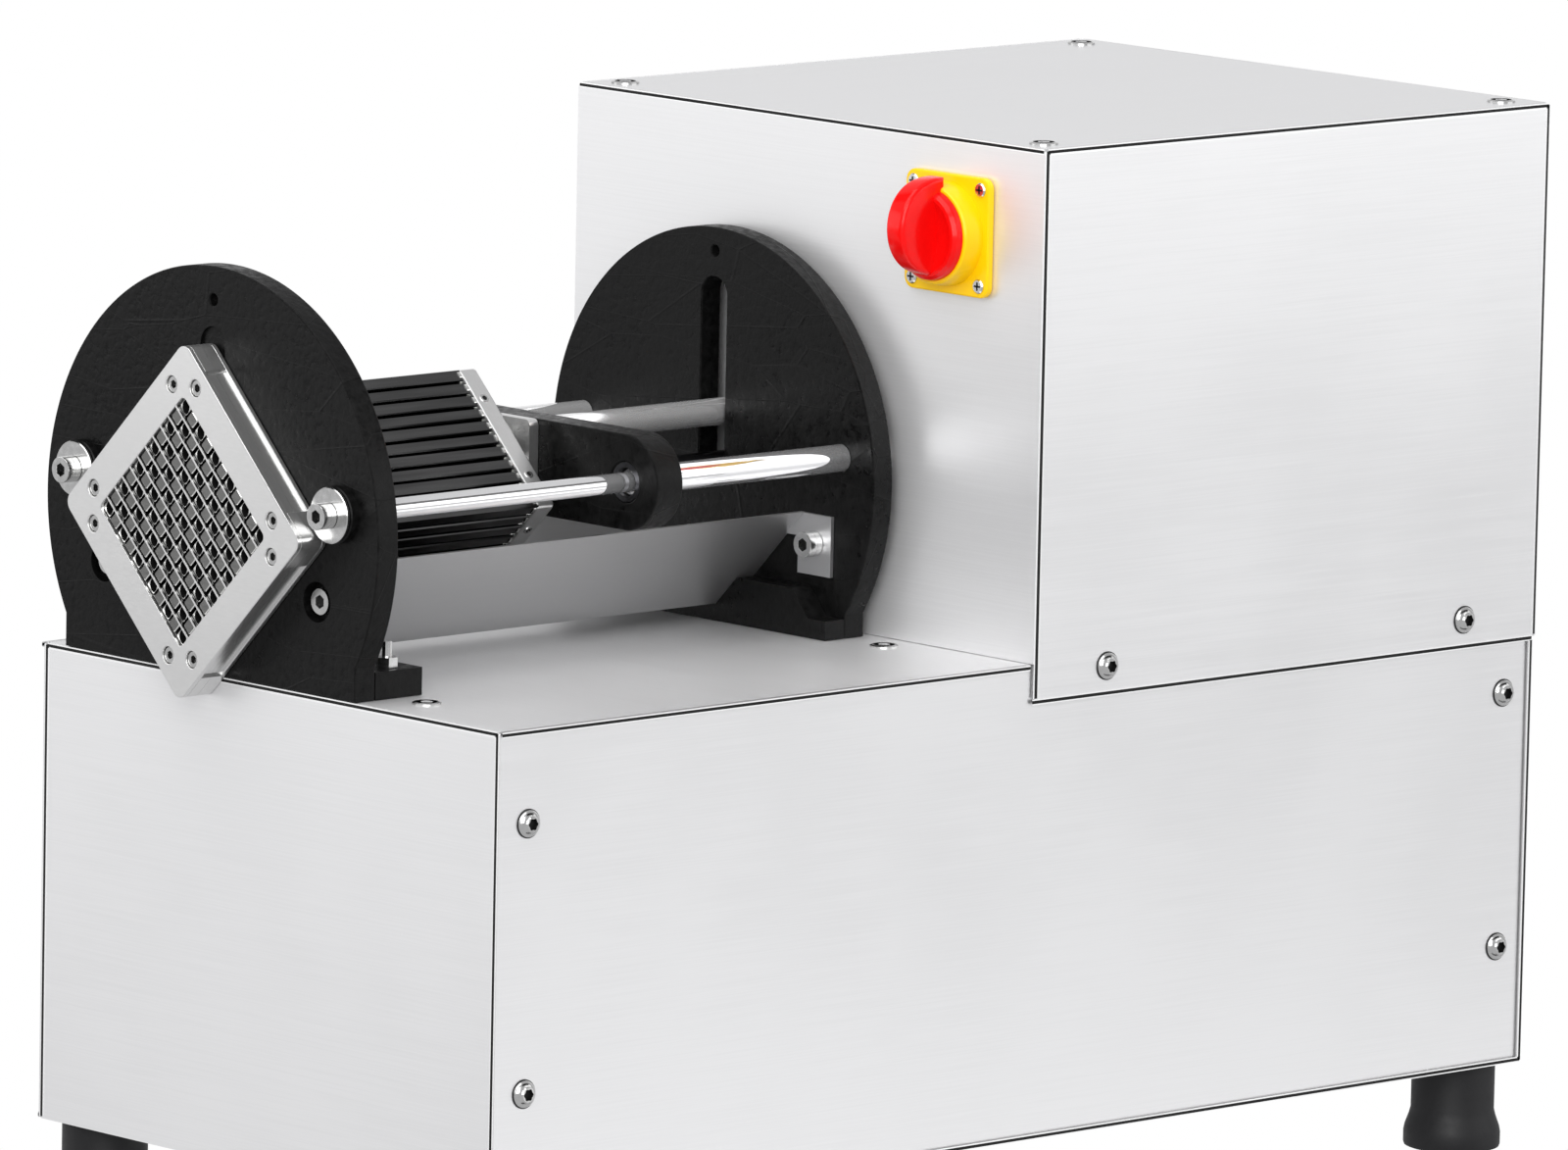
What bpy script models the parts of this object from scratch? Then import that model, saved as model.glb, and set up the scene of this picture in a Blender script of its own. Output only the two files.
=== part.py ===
"""Motorised french fry cutting machine.

A pusher with square pins slides on two tie rods between two black end discs and pushes
potatoes through a square blade grid. A gearmotor, crank and connecting rod inside the
stainless housing drive it. X runs from the blade grid to the housing, Y from the front
to the back, Z up from the floor. Lengths are metres.
"""
import math

import bmesh
import bpy
from mathutils import Matrix

# Driving dimensions of the cabinet and the housing
CABINET_LENGTH = 0.708
CABINET_DEPTH = 0.340
CABINET_HEIGHT = 0.240
FOOT_HEIGHT = 0.045
HOUSING_LENGTH = 0.356
HOUSING_RISE = 0.257
SKIRT_DROP = 0.018
SHEET = 0.0015
BEND_RADIUS = 0.003
GAP = 0.0003

# Feet and inner frame
FOOT_RADIUS = 0.0215
FOOT_FLARE_RADIUS = 0.025
FOOT_BARREL = 0.026
FOOT_RIM = 0.002
FOOT_INSET = 0.0235
FOOT_STUD_RADIUS = 0.004
FOOT_STUD = 0.014
FLOOR_THICKNESS = 0.002
POST_LEG = 0.030
POST_WALL = 0.002

# Panel screws
SCREW_RADIUS = 0.003
SCREW_HEAD_RADIUS = 0.0068
SCREW_HEAD_HEIGHT = 0.0036
SCREW_GRIP = 0.009
SCREW_INSET = 0.019
SCREW_DROP = 0.046
SCREW_SPACING = 0.132
SKIRT_SCREW_INSET = 0.051
SKIRT_SCREW_RISE = 0.013
TOP_SCREW_INSET = 0.016
FLAT_HEAD_HEIGHT = 0.0012
FLAT_HEAD_TOP_RADIUS = 0.0055
FLAT_SOCKET_RADIUS = 0.0024
FLAT_SOCKET_DEPTH = 0.0010
BUTTON_FLAT_RADIUS = 0.0033
BUTTON_SOCKET_RADIUS = 0.0026
BUTTON_SOCKET_DEPTH = 0.0020

# Cutting axis and end discs
AXIS_OFFSET = 0.045
AXIS_RISE = 0.077
FRONT_DISC_RADIUS = 0.1245
FRONT_FOOT_HALF = 0.109
REAR_DISC_RADIUS = 0.120
REAR_FOOT_HALF = 0.101
DISC_THICKNESS = 0.013
FRONT_DISC_INSET = 0.0
REAR_DISC_CLEARANCE = 0.007
SLOT_WIDTH = 0.0185
SLOT_TOP = 0.095
SLOT_POCKET_DEPTH = 0.0015
LOCATING_HOLE_RADIUS = 0.003
LOCATING_HOLE_RISE = 0.108

# Foot bars beside the discs
FRONT_BAR_DEPTH = 0.030
FRONT_BAR_HEIGHT = 0.014
REAR_BAR_DEPTH = 0.013
REAR_BAR_END_HEIGHT = 0.010
REAR_BAR_HEIGHT = 0.024
BAR_SHOULDER = 0.076
BAR_SLOPE = 0.012
BAR_STUD_OFFSET = 0.100
BAR_STUD_RADIUS = 0.0025
BAR_STUD_HEIGHT = 0.013
BAR_NUT_RADIUS = 0.0055
BAR_NUT = 0.005
BASE_SCREW_OFFSET = 0.130

# Tie rods
TIE_ROD_SPREAD = 0.096
TIE_ROD_RISE = 0.014
TIE_ROD_RADIUS = 0.007
TIE_ROD_NECK_RADIUS = 0.005
TIE_ROD_BOSS_RADIUS = 0.0142
TIE_ROD_BOSS = 0.005
WASHER_RADIUS = 0.0138
WASHER_THICKNESS = 0.002
CAP_HEAD_RADIUS = 0.0065
CAP_HEAD_HEIGHT = 0.008
CAP_SOCKET_RADIUS = 0.0034
CAP_SOCKET_DEPTH = 0.0025
DOME_RADIUS = 0.009
DOME_HEIGHT = 0.0055

# Blade frame: two stacked square rings stood on a corner
APERTURE_SIDE = 0.088
RING_SIDE = 0.126
RING_THICKNESS = 0.009
RING_CORNER = 0.006
RING_LIP = 0.0028
RING_GROOVE = 0.0016
RING_BLOCK = 0.019
APERTURE_CORNER = 0.003
CELL_PITCH = 0.008
BLADE_THICKNESS = 0.001
BLADE_HEIGHT = 0.008
BLADE_SEAT = 0.003
RING_SCREW_RADIUS = 0.0025
RING_SCREW_HEAD_RADIUS = 0.0040
RING_SCREW_SINK = 0.006
RING_SCREW_LOW = 0.001
RING_SOCKET_RADIUS = 0.0021
RING_SOCKET_DEPTH = 0.0020
RING_SCREW_FROM_CORNER = 0.022

# Pusher and carriage
PIN_SIDE = 0.0060
PIN_STAGGER = 0.001
PIN_TIP_SINK = 0.001
PIN_BORE_RADIUS = 0.0022
PIN_BORE_DEPTH = 0.004
PIN_ROOT = 0.002
PUSHER_START = 0.160
PUSHER_THICKNESS = 0.011
PUSHER_PLATE_SIDE = 0.0875
CARRIAGE_START = 0.186
CARRIAGE_THICKNESS = 0.017
CARRIAGE_END_RADIUS = 0.024
CARRIAGE_RELIEF = 0.004
BUSH_RADIUS = 0.010
BUSH_FLANGE_RADIUS = 0.013
BUSH_FLANGE = 0.002
ADAPTER_THICKNESS = 0.006
ADAPTER_HALF_WIDTH = 0.032
ADAPTER_HALF_HEIGHT = 0.024
PUSHER_BOLT_RADIUS = 0.004
PUSHER_BOLT_SPREAD = 0.022
STANDOFF_RADIUS = 0.0064

# Ram rods and crosshead
UPPER_RAM_RISE = 0.026
UPPER_RAM_RADIUS = 0.007
LOWER_RAM_RADIUS = 0.006
RAM_COLLAR_RADIUS = 0.009
RAM_COLLAR = 0.008
RAM_CLEARANCE = 0.0006
GUIDE_LENGTH = 0.020
GUIDE_HALF_WIDTH = 0.025
GUIDE_MARGIN = 0.012
CROSSHEAD_RUN = 0.0045
CROSSHEAD_LENGTH = 0.024
CROSSHEAD_HALF_WIDTH = 0.012
CROSSHEAD_MARGIN = 0.012

# Crank and connecting rod
CRANK_THROW = 0.062
ROD_LENGTH = 0.150
ROD_THICKNESS = 0.012
ROD_SMALL_EYE = 0.013
ROD_BIG_EYE = 0.016
ROD_HALF_WIDTH = 0.009
CROSSHEAD_PIN_RADIUS = 0.006
CRANK_PIN_RADIUS = 0.008
CRANK_THICKNESS = 0.012
CRANK_RIM = 0.016
CRANK_WAIST = 0.42
SIDE_CLEARANCE = 0.001
SHAFT_RADIUS = 0.0125

# Gearmotor
GEARBOX_HALF_LENGTH = 0.050
GEARBOX_DEPTH = 0.090
GEARBOX_OVER_SHAFT = 0.045
GEARBOX_BOSS_RADIUS = 0.030
GEARBOX_BOSS = 0.005
GEARBOX_CORNER = 0.012
DRIVE_PLATE_THICKNESS = 0.008
DRIVE_PLATE_HALF_LENGTH = 0.095
DRIVE_PLATE_HALF_DEPTH = 0.085
DRIVE_PLATE_CORNER = 0.006
MOTOR_RADIUS = 0.056
MOTOR_FLANGE_RADIUS = 0.068
MOTOR_FLANGE = 0.010
MOTOR_LENGTH = 0.120
MOTOR_SPIGOT_RADIUS = 0.040
FAN_COVER_LENGTH = 0.035
MOTOR_OPENING_CLEARANCE = 0.004
TERMINAL_BOX = (0.030, 0.050, 0.060)

# Isolator switch on the housing's left panel
SWITCH_FROM_FRONT = 0.063
SWITCH_RISE = 0.209
SWITCH_PLATE = 0.060
SWITCH_PLATE_THICKNESS = 0.004
SWITCH_PLATE_CORNER = 0.006
SWITCH_HUB_RADIUS = 0.026
SWITCH_HUB = 0.005
SWITCH_SCREW_SPREAD = 0.0240
SWITCH_SCREW_RADIUS = 0.0035
SWITCH_SCREW_HEAD = 0.0012
SWITCH_BODY = 0.052
SWITCH_BODY_DEPTH = 0.050
SWITCH_NECK_RADIUS = 0.011
KNOB_RADIUS = 0.023
KNOB_TOP_RADIUS = 0.020
KNOB_BASE = 0.011
KNOB_EDGE = 0.0015
KNOB_GRIP = 0.029
KNOB_GRIP_WIDTH = 0.0125
KNOB_GRIP_BACK = 0.002
KNOB_GRIP_FULLNESS = 0.8
KNOB_POINTER = 0.029
KNOB_SPINDLE_RADIUS = 0.004
KNOB_SPINDLE = 0.006

# V trough under the pusher
TROUGH_DISTANCE = 0.060
TROUGH_TOP = -0.016
TROUGH_BOTTOM = -0.066
TROUGH_WALL = 0.002
TAB_OUTER = 0.092
TAB_INNER = 0.068
TAB_DROP = 0.031
TAB_SHOULDER = 0.010
TROUGH_SCREW_SPREAD = 0.080
TROUGH_SCREW_RISE = -0.031
TROUGH_SCREW_RADIUS = 0.004
COUNTERBORE_RADIUS = 0.010
COUNTERBORE_DEPTH = 0.006

# Vents and cable gland
VENT_COUNT = 7
VENT_PITCH = 0.012
VENT_LENGTH = 0.070
VENT_WIDTH = 0.004
VENT_CORNER = 0.0019
VENT_RISE = 0.150
GLAND_RADIUS = 0.008
GLAND_NUT_RADIUS = 0.013
GLAND_NUT = 0.006
GLAND_LENGTH = 0.018
GLAND_FROM_RIGHT = 0.120
GLAND_FROM_BACK = 0.060

# Places worked out from the sizes above
RINGS_THICK = RING_THICKNESS * 2 + GAP * 2
BLADE_REACH = RINGS_THICK - FRONT_DISC_INSET
OVERALL_LENGTH = BLADE_REACH + CABINET_LENGTH + GAP + SHEET
LEFT = BLADE_REACH - OVERALL_LENGTH / 2
RIGHT = LEFT + CABINET_LENGTH
MIDDLE = (LEFT + RIGHT) / 2
FRONT = -CABINET_DEPTH / 2
BACK = CABINET_DEPTH / 2
BOTTOM = FOOT_HEIGHT
BASE_TOP = BOTTOM + CABINET_HEIGHT
HOUSING_LEFT = RIGHT - HOUSING_LENGTH
HOUSING_TOP = BASE_TOP + HOUSING_RISE
SKIRT_BOTTOM = BASE_TOP - SKIRT_DROP
HOUSING_HALF_DEPTH = CABINET_DEPTH / 2 + GAP + SHEET
AXIS_Y = AXIS_OFFSET
AXIS_Z = BASE_TOP + AXIS_RISE
FRONT_DISC_LEFT = LEFT + FRONT_DISC_INSET
FRONT_DISC_RIGHT = FRONT_DISC_LEFT + DISC_THICKNESS
REAR_DISC_RIGHT = HOUSING_LEFT - REAR_DISC_CLEARANCE
REAR_DISC_LEFT = REAR_DISC_RIGHT - DISC_THICKNESS
RING_FRONT = FRONT_DISC_LEFT - RINGS_THICK
CARRIAGE_LEFT = LEFT + CARRIAGE_START
CARRIAGE_RIGHT = CARRIAGE_LEFT + CARRIAGE_THICKNESS
PANEL_INSIDE = HOUSING_LEFT + SHEET
GUIDE_LEFT = PANEL_INSIDE + GAP
GUIDE_RIGHT = GUIDE_LEFT + GUIDE_LENGTH
CROSSHEAD_LEFT = GUIDE_RIGHT + CROSSHEAD_RUN
CROSSHEAD_PIN_X = CROSSHEAD_LEFT + CROSSHEAD_LENGTH / 2
RAM_Z = AXIS_Z + UPPER_RAM_RISE
CRANK_X = CROSSHEAD_PIN_X + ROD_LENGTH + CRANK_THROW
CRANK_PIN_X = CRANK_X - CRANK_THROW
ROD_BACK_Y = AXIS_Y - CROSSHEAD_HALF_WIDTH - 2 * SIDE_CLEARANCE
ROD_FRONT_Y = ROD_BACK_Y - ROD_THICKNESS
CRANK_BACK_Y = ROD_FRONT_Y - SIDE_CLEARANCE
CRANK_FRONT_Y = CRANK_BACK_Y - CRANK_THICKNESS
GEARBOX_BACK_Y = CRANK_FRONT_Y - GEARBOX_BOSS - SIDE_CLEARANCE
GEARBOX_MID_Y = GEARBOX_BACK_Y - GEARBOX_DEPTH / 2
DRIVE_PLATE_BOTTOM = BASE_TOP + GAP
DRIVE_PLATE_TOP = DRIVE_PLATE_BOTTOM + DRIVE_PLATE_THICKNESS
MOTOR_OPENING_RADIUS = MOTOR_FLANGE_RADIUS + MOTOR_OPENING_CLEARANCE
SWITCH_Y = FRONT + SWITCH_FROM_FRONT
SWITCH_Z = BASE_TOP + SWITCH_RISE
GLAND_X = RIGHT - GLAND_FROM_RIGHT
GLAND_Y = BACK - GLAND_FROM_BACK
CELLS = round(APERTURE_SIDE / CELL_PITCH)

TURN = 2 * math.pi
FACING = {
    "x": Matrix(((0, 0, 1, 0), (1, 0, 0, 0), (0, 1, 0, 0), (0, 0, 0, 1))),
    "y": Matrix(((1, 0, 0, 0), (0, 0, -1, 0), (0, 1, 0, 0), (0, 0, 0, 1))),
    "z": Matrix.Identity(4),
}
POINTING = {
    "+x": Matrix.Rotation(math.pi / 2, 4, "Y"),
    "-x": Matrix.Rotation(-math.pi / 2, 4, "Y"),
    "+y": Matrix.Rotation(-math.pi / 2, 4, "X"),
    "-y": Matrix.Rotation(math.pi / 2, 4, "X"),
    "+z": Matrix.Identity(4),
    "-z": Matrix.Rotation(math.pi, 4, "X"),
}


# Scene, collections and materials

def start_scene():
    for old in list(bpy.data.objects):
        bpy.data.objects.remove(old, do_unlink=True)
    made = []
    for name in ("french_fry_cutting_machine", "cutters"):
        collection = bpy.data.collections.new(name)
        bpy.context.scene.collection.children.link(collection)
        made.append(collection)
    return made


PARTS, CUTTERS = start_scene()


def finish_material(name, colour, roughness, metallic):
    made = bpy.data.materials.new(name)
    made.use_nodes = True
    shader = made.node_tree.nodes["Principled BSDF"]
    shader.inputs["Base Color"].default_value = (*colour, 1.0)
    shader.inputs["Roughness"].default_value = roughness
    shader.inputs["Metallic"].default_value = metallic
    return made


BRUSHED = finish_material("brushed_stainless", (0.72, 0.72, 0.72), 0.32, 1.0)
MACHINED = finish_material("machined_steel", (0.66, 0.66, 0.67), 0.25, 1.0)
CHROME = finish_material("chromed_rod", (0.80, 0.80, 0.81), 0.08, 1.0)
ZINC = finish_material("plated_fastener", (0.62, 0.62, 0.61), 0.25, 1.0)
DARK_STEEL = finish_material("dark_steel", (0.10, 0.10, 0.11), 0.40, 1.0)
BLACK_BOARD = finish_material("black_polyethylene", (0.012, 0.012, 0.012), 0.45, 0.0)
RUBBER = finish_material("black_rubber", (0.015, 0.015, 0.016), 0.60, 0.0)
BRONZE = finish_material("bearing_bronze", (0.50, 0.34, 0.16), 0.35, 1.0)
CASTING = finish_material("painted_casting", (0.18, 0.21, 0.24), 0.45, 0.0)
YELLOW = finish_material("yellow_plastic", (0.90, 0.60, 0.02), 0.30, 0.0)
RED = finish_material("red_plastic", (0.70, 0.02, 0.02), 0.25, 0.0)


# Shape helpers

def put(name, mesh, look, place=(0, 0, 0), turn=(0, 0, 0), smooth=True):
    piece = bpy.data.objects.new(name, mesh)
    mesh.materials.append(look)
    if smooth:
        mesh.shade_smooth()
        mesh.set_sharp_from_angle(angle=math.radians(35))
    piece.location = place
    piece.rotation_euler = turn
    PARTS.objects.link(piece)
    return piece


def plate_mesh(outlines, thickness, facing):
    """A flat plate, centred on its thickness, from closed outlines; inner ones are holes."""
    curve = bpy.data.curves.new("outline", "CURVE")
    curve.dimensions = "2D"
    curve.fill_mode = "BOTH"
    curve.extrude = thickness / 2
    for outline in outlines:
        spline = curve.splines.new("POLY")
        spline.points.add(len(outline) - 1)
        for point, (u, v) in zip(spline.points, outline):
            point.co = (u, v, 0, 1)
        spline.use_cyclic_u = True
    sketch = bpy.data.objects.new("outline", curve)
    CUTTERS.objects.link(sketch)
    ready = sketch.evaluated_get(bpy.context.evaluated_depsgraph_get())
    mesh = bpy.data.meshes.new_from_object(ready)
    bpy.data.objects.remove(sketch, do_unlink=True)
    work = bmesh.new()
    work.from_mesh(mesh)
    bmesh.ops.remove_doubles(work, verts=work.verts, dist=1e-6)
    bmesh.ops.recalc_face_normals(work, faces=work.faces)
    work.to_mesh(mesh)
    work.free()
    mesh.transform(FACING[facing])
    return mesh


def plate(name, outlines, thickness, facing, place, look, turn=(0, 0, 0)):
    return put(name, plate_mesh(outlines, thickness, facing), look, place, turn)


class Group:
    """Solids gathered into one mesh: turned shapes, bars and blocks."""

    def __init__(self):
        self.work = bmesh.new()

    def turned(self, profile, pointing, place, steps=24, ring=False):
        """Spin (radius, height) points; a ring's outline closes on itself, off the axis."""
        verts = [self.work.verts.new((radius, 0, height)) for radius, height in profile]
        edges = [self.work.edges.new(pair) for pair in zip(verts, verts[1:])]
        if ring:
            edges.append(self.work.edges.new((verts[-1], verts[0])))
        bmesh.ops.spin(self.work, geom=verts + edges, cent=(0, 0, 0), axis=(0, 0, 1),
                       angle=TURN, steps=steps, use_merge=True)
        fresh = [vert for vert in self.work.verts if not vert.tag]
        bmesh.ops.remove_doubles(self.work, verts=fresh, dist=1e-6)
        self.settle(Matrix.Translation(place) @ POINTING[pointing])

    def rod(self, radius, length, pointing, place, steps=24):
        self.turned([(0, 0), (radius, 0), (radius, length), (0, length)], pointing, place, steps)

    def tube(self, outer, inner, length, pointing, place, steps=24):
        profile = [(inner, 0), (outer, 0), (outer, length), (inner, length)]
        self.turned(profile, pointing, place, steps, ring=True)

    def block(self, size, place):
        bmesh.ops.create_cube(self.work, size=1.0, matrix=Matrix.Diagonal((*size, 1.0)))
        self.settle(Matrix.Translation(place))

    def add(self, mesh, place=(0, 0, 0)):
        self.work.from_mesh(mesh)
        bpy.data.meshes.remove(mesh)
        self.settle(Matrix.Translation(place))

    def settle(self, matrix):
        fresh = [vert for vert in self.work.verts if not vert.tag]
        bmesh.ops.transform(self.work, matrix=matrix, verts=fresh)
        for vert in fresh:
            vert.tag = True

    def mesh(self, name):
        bmesh.ops.recalc_face_normals(self.work, faces=self.work.faces)
        made = bpy.data.meshes.new(name)
        self.work.to_mesh(made)
        self.work.free()
        return made

    def piece(self, name, look, place=(0, 0, 0)):
        return put(name, self.mesh(name), look, place)

    def cutter(self, name):
        tool = bpy.data.objects.new(name, self.mesh(name))
        tool.hide_render = True
        tool.display_type = "WIRE"
        CUTTERS.objects.link(tool)
        return tool


def cut(piece, cutter, operation="DIFFERENCE", solver="EXACT"):
    change = piece.modifiers.new(operation.lower(), "BOOLEAN")
    change.operation = operation
    change.object = cutter
    change.solver = solver


# Outlines

def arc(centre, radius, start, end, steps):
    """Points on an arc from start to end, both in degrees."""
    points = []
    for index in range(steps + 1):
        angle = math.radians(start + (end - start) * index / steps)
        points.append((centre[0] + radius * math.cos(angle), centre[1] + radius * math.sin(angle)))
    return points


def circle(centre, radius, steps=14):
    return arc(centre, radius, 0, 360 - 360 / steps, steps - 1)


def rectangle(left, bottom, right, top, corner=0.0, steps=3):
    if corner == 0.0:
        return [(left, bottom), (right, bottom), (right, top), (left, top)]
    points = arc((right - corner, top - corner), corner, 0, 90, steps)
    points += arc((left + corner, top - corner), corner, 90, 180, steps)
    points += arc((left + corner, bottom + corner), corner, 180, 270, steps)
    points += arc((right - corner, bottom + corner), corner, 270, 360, steps)
    return points


def stadium(low, high, half_width, steps=10):
    """A vertical slot with round ends whose centres are at low and high."""
    top = arc((0, high), half_width, 0, 180, steps)
    return top + arc((0, low), half_width, 180, 360, steps)


def square_on_corner(side, corner, steps=3):
    """A square of the given side stood on one corner, with rounded corners."""
    flat = rectangle(-side / 2, -side / 2, side / 2, side / 2, corner, steps)
    return [stand_on_corner(point) for point in flat]


def stand_on_corner(point):
    root_half = math.sqrt(0.5)
    return ((point[0] - point[1]) * root_half, (point[0] + point[1]) * root_half)


def channel(half_span, height, wall, radius, steps=4):
    """An upside-down U of folded sheet, open below, with its feet at v = 0."""
    outer = arc((half_span - radius, height - radius), radius, 0, 90, steps)
    outer += arc((radius - half_span, height - radius), radius, 90, 180, steps)
    inner = arc((radius - half_span, height - radius), radius - wall, 180, 90, steps)
    inner += arc((half_span - radius, height - radius), radius - wall, 90, 0, steps)
    outer = [(half_span, 0)] + outer + [(-half_span, 0)]
    inner = [(wall - half_span, 0)] + inner + [(half_span - wall, 0)]
    return outer + inner


# Fastener profiles, from the end of the shank to the top of the head

def button_profile(shank, grip):
    head = [(SCREW_HEAD_RADIUS * math.cos(angle), SCREW_HEAD_HEIGHT * math.sin(angle))
            for angle in (0, math.radians(30))]
    head += [(BUTTON_FLAT_RADIUS, SCREW_HEAD_HEIGHT), (0, SCREW_HEAD_HEIGHT)]
    return [(0, -grip), (shank, -grip), (shank, 0)] + head


def cap_profile(shank, grip, head, height):
    return [(0, -grip), (shank, -grip), (shank, 0), (head, 0), (head, height), (0, height)]


def flat_sockets(piece, points):
    """Cut the hexagon sockets of countersunk screws that are one with their sheet."""
    tools = Group()
    for x, y, z in points:
        tools.rod(FLAT_SOCKET_RADIUS, 2 * FLAT_SOCKET_DEPTH, "+z",
                  (x, y, z + FLAT_HEAD_HEIGHT - FLAT_SOCKET_DEPTH), 6)
    cut(piece, tools.cutter(f"{piece.name}_sockets"))


def hexagon_socket(piece, radius, depth, pointing, place):
    """Cut a hexagon socket into a screw; place is the middle of its flat bottom."""
    tool = Group()
    tool.rod(radius, 2 * depth, pointing, place, 6)
    cut(piece, tool.cutter(f"{piece.name}_socket"))


def add_heads(group, points, pointing):
    """Button heads on short shanks that are one with the sheet they go into."""
    for place in points:
        profile = button_profile(SCREW_RADIUS, SHEET / 2 + GAP)
        group.turned(profile, pointing, place, steps=12)


def flat_heads(points):
    """Countersunk screws whose low heads stand just above the sheet they are in."""
    group = Group()
    for place in points:
        group.turned([(0, -SHEET / 2), (SCREW_HEAD_RADIUS, -SHEET / 2), (SCREW_HEAD_RADIUS, 0),
                      (FLAT_HEAD_TOP_RADIUS, FLAT_HEAD_HEIGHT), (0, FLAT_HEAD_HEIGHT)],
                     "+z", place, steps=12)
    return group


# Base cabinet

def skirt_screw_places():
    z = SKIRT_BOTTOM + SKIRT_SCREW_RISE
    return [(x, z) for x in (HOUSING_LEFT + SKIRT_SCREW_INSET, RIGHT - SKIRT_SCREW_INSET)]


def panel_screw_places():
    high = BASE_TOP - SCREW_DROP
    return [(x, z) for x in (LEFT + SCREW_INSET, RIGHT - SCREW_INSET)
            for z in (high - SCREW_SPACING, high)]


def base_cabinet():
    half = CABINET_LENGTH / 2
    inner_depth = CABINET_DEPTH - 2 * (SHEET + GAP)
    outline = channel(half, CABINET_HEIGHT, SHEET, BEND_RADIUS)
    wrap = plate("base_wrap", [outline], inner_depth, "y", (MIDDLE, 0, BOTTOM), BRUSHED)
    tools = Group()
    tools.rod(MOTOR_OPENING_RADIUS, 3 * BEND_RADIUS, "+z",
              (CRANK_X, GEARBOX_MID_Y, BASE_TOP - 2 * BEND_RADIUS), steps=48)
    for x, y in bar_stud_places():
        tools.rod(BAR_STUD_RADIUS + GAP, 3 * BEND_RADIUS, "+z", (x, y, BASE_TOP - 2 * BEND_RADIUS), 12)
    cut(wrap, tools.cutter("base_top_openings"))
    places = [(x, y, BASE_TOP) for x, y in base_screw_places()]
    cut(wrap, flat_heads(places).cutter("base_top_screws"), "UNION")
    flat_sockets(wrap, places)

    face = rectangle(-half, 0, half, CABINET_HEIGHT, SHEET)
    holes = [circle((x - MIDDLE, z - BOTTOM), SCREW_RADIUS + GAP)
             for x, z in panel_screw_places() + skirt_screw_places()]
    plate("base_front_panel", [face] + holes, SHEET, "y", (MIDDLE, FRONT + SHEET / 2, BOTTOM),
          BRUSHED)
    back = plate("base_back_panel", [face], SHEET, "y", (MIDDLE, BACK - SHEET / 2, BOTTOM), BRUSHED)
    heads = Group()
    add_heads(heads, [(x, BACK + GAP, z) for x, z in panel_screw_places()], "+y")
    cut(back, heads.cutter("back_panel_screws"), "UNION")
    base_frame(half - SHEET - GAP, CABINET_DEPTH / 2 - SHEET - GAP)


def base_frame(inside, depth):
    """The floor with a welded angle post in each corner, which the panels screw to."""
    holes = [circle((x - MIDDLE, y), FOOT_STUD_RADIUS + GAP) for x, y in foot_places()]
    holes.append(circle((GLAND_X - MIDDLE, GLAND_Y), GLAND_RADIUS + GAP))
    frame = plate("base_frame", [rectangle(-inside, -depth, inside, depth)] + holes,
                  FLOOR_THICKNESS, "z", (MIDDLE, 0, BOTTOM + GAP + FLOOR_THICKNESS / 2), BRUSHED)
    low = BOTTOM + GAP + FLOOR_THICKNESS / 2
    height = BASE_TOP - BEND_RADIUS - GAP - low
    group = Group()
    for side_x in (-1, 1):
        for side_y in (-1, 1):
            angle = [(0, 0), (POST_LEG, 0), (POST_LEG, POST_WALL), (POST_WALL, POST_WALL),
                     (POST_WALL, POST_LEG), (0, POST_LEG)]
            corner = [(side_x * (inside - u), side_y * (depth - v)) for u, v in angle]
            group.add(plate_mesh([corner], height, "z"), (MIDDLE, 0, low + height / 2))
    cut(frame, group.cutter("corner_posts"), "UNION", "MANIFOLD")
    tools = Group()
    for x, z in panel_screw_places():
        tools.rod(SCREW_RADIUS + GAP, 2 * SCREW_GRIP, "+y", (x, FRONT - SCREW_GRIP, z), 12)
    cut(frame, tools.cutter("post_screw_holes"), "DIFFERENCE", "MANIFOLD")


def foot_places():
    return [(x, y) for x in (LEFT + FOOT_INSET, RIGHT - FOOT_INSET)
            for y in (FRONT + FOOT_INSET, BACK - FOOT_INSET)]


def feet():
    """Rubber feet, each moulded on a stud that goes up through the floor."""
    names = ("foot_front_left", "foot_back_left", "foot_front_right", "foot_back_right")
    barrel = FOOT_HEIGHT - FOOT_BARREL
    rim = FOOT_RIM
    profile = [(0, 0), (FOOT_FLARE_RADIUS - rim, 0), (FOOT_FLARE_RADIUS, rim),
               (FOOT_FLARE_RADIUS, barrel / 2), (FOOT_RADIUS, barrel),
               (FOOT_RADIUS, FOOT_HEIGHT - rim), (FOOT_RADIUS - rim, FOOT_HEIGHT),
               (FOOT_STUD_RADIUS, FOOT_HEIGHT), (FOOT_STUD_RADIUS, FOOT_HEIGHT + FOOT_STUD),
               (0, FOOT_HEIGHT + FOOT_STUD)]
    for name, (x, y) in zip(names, foot_places()):
        foot = Group()
        foot.turned(profile, "+z", (0, 0, 0), steps=20)
        foot.piece(name, RUBBER, (x, y, 0))


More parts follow.
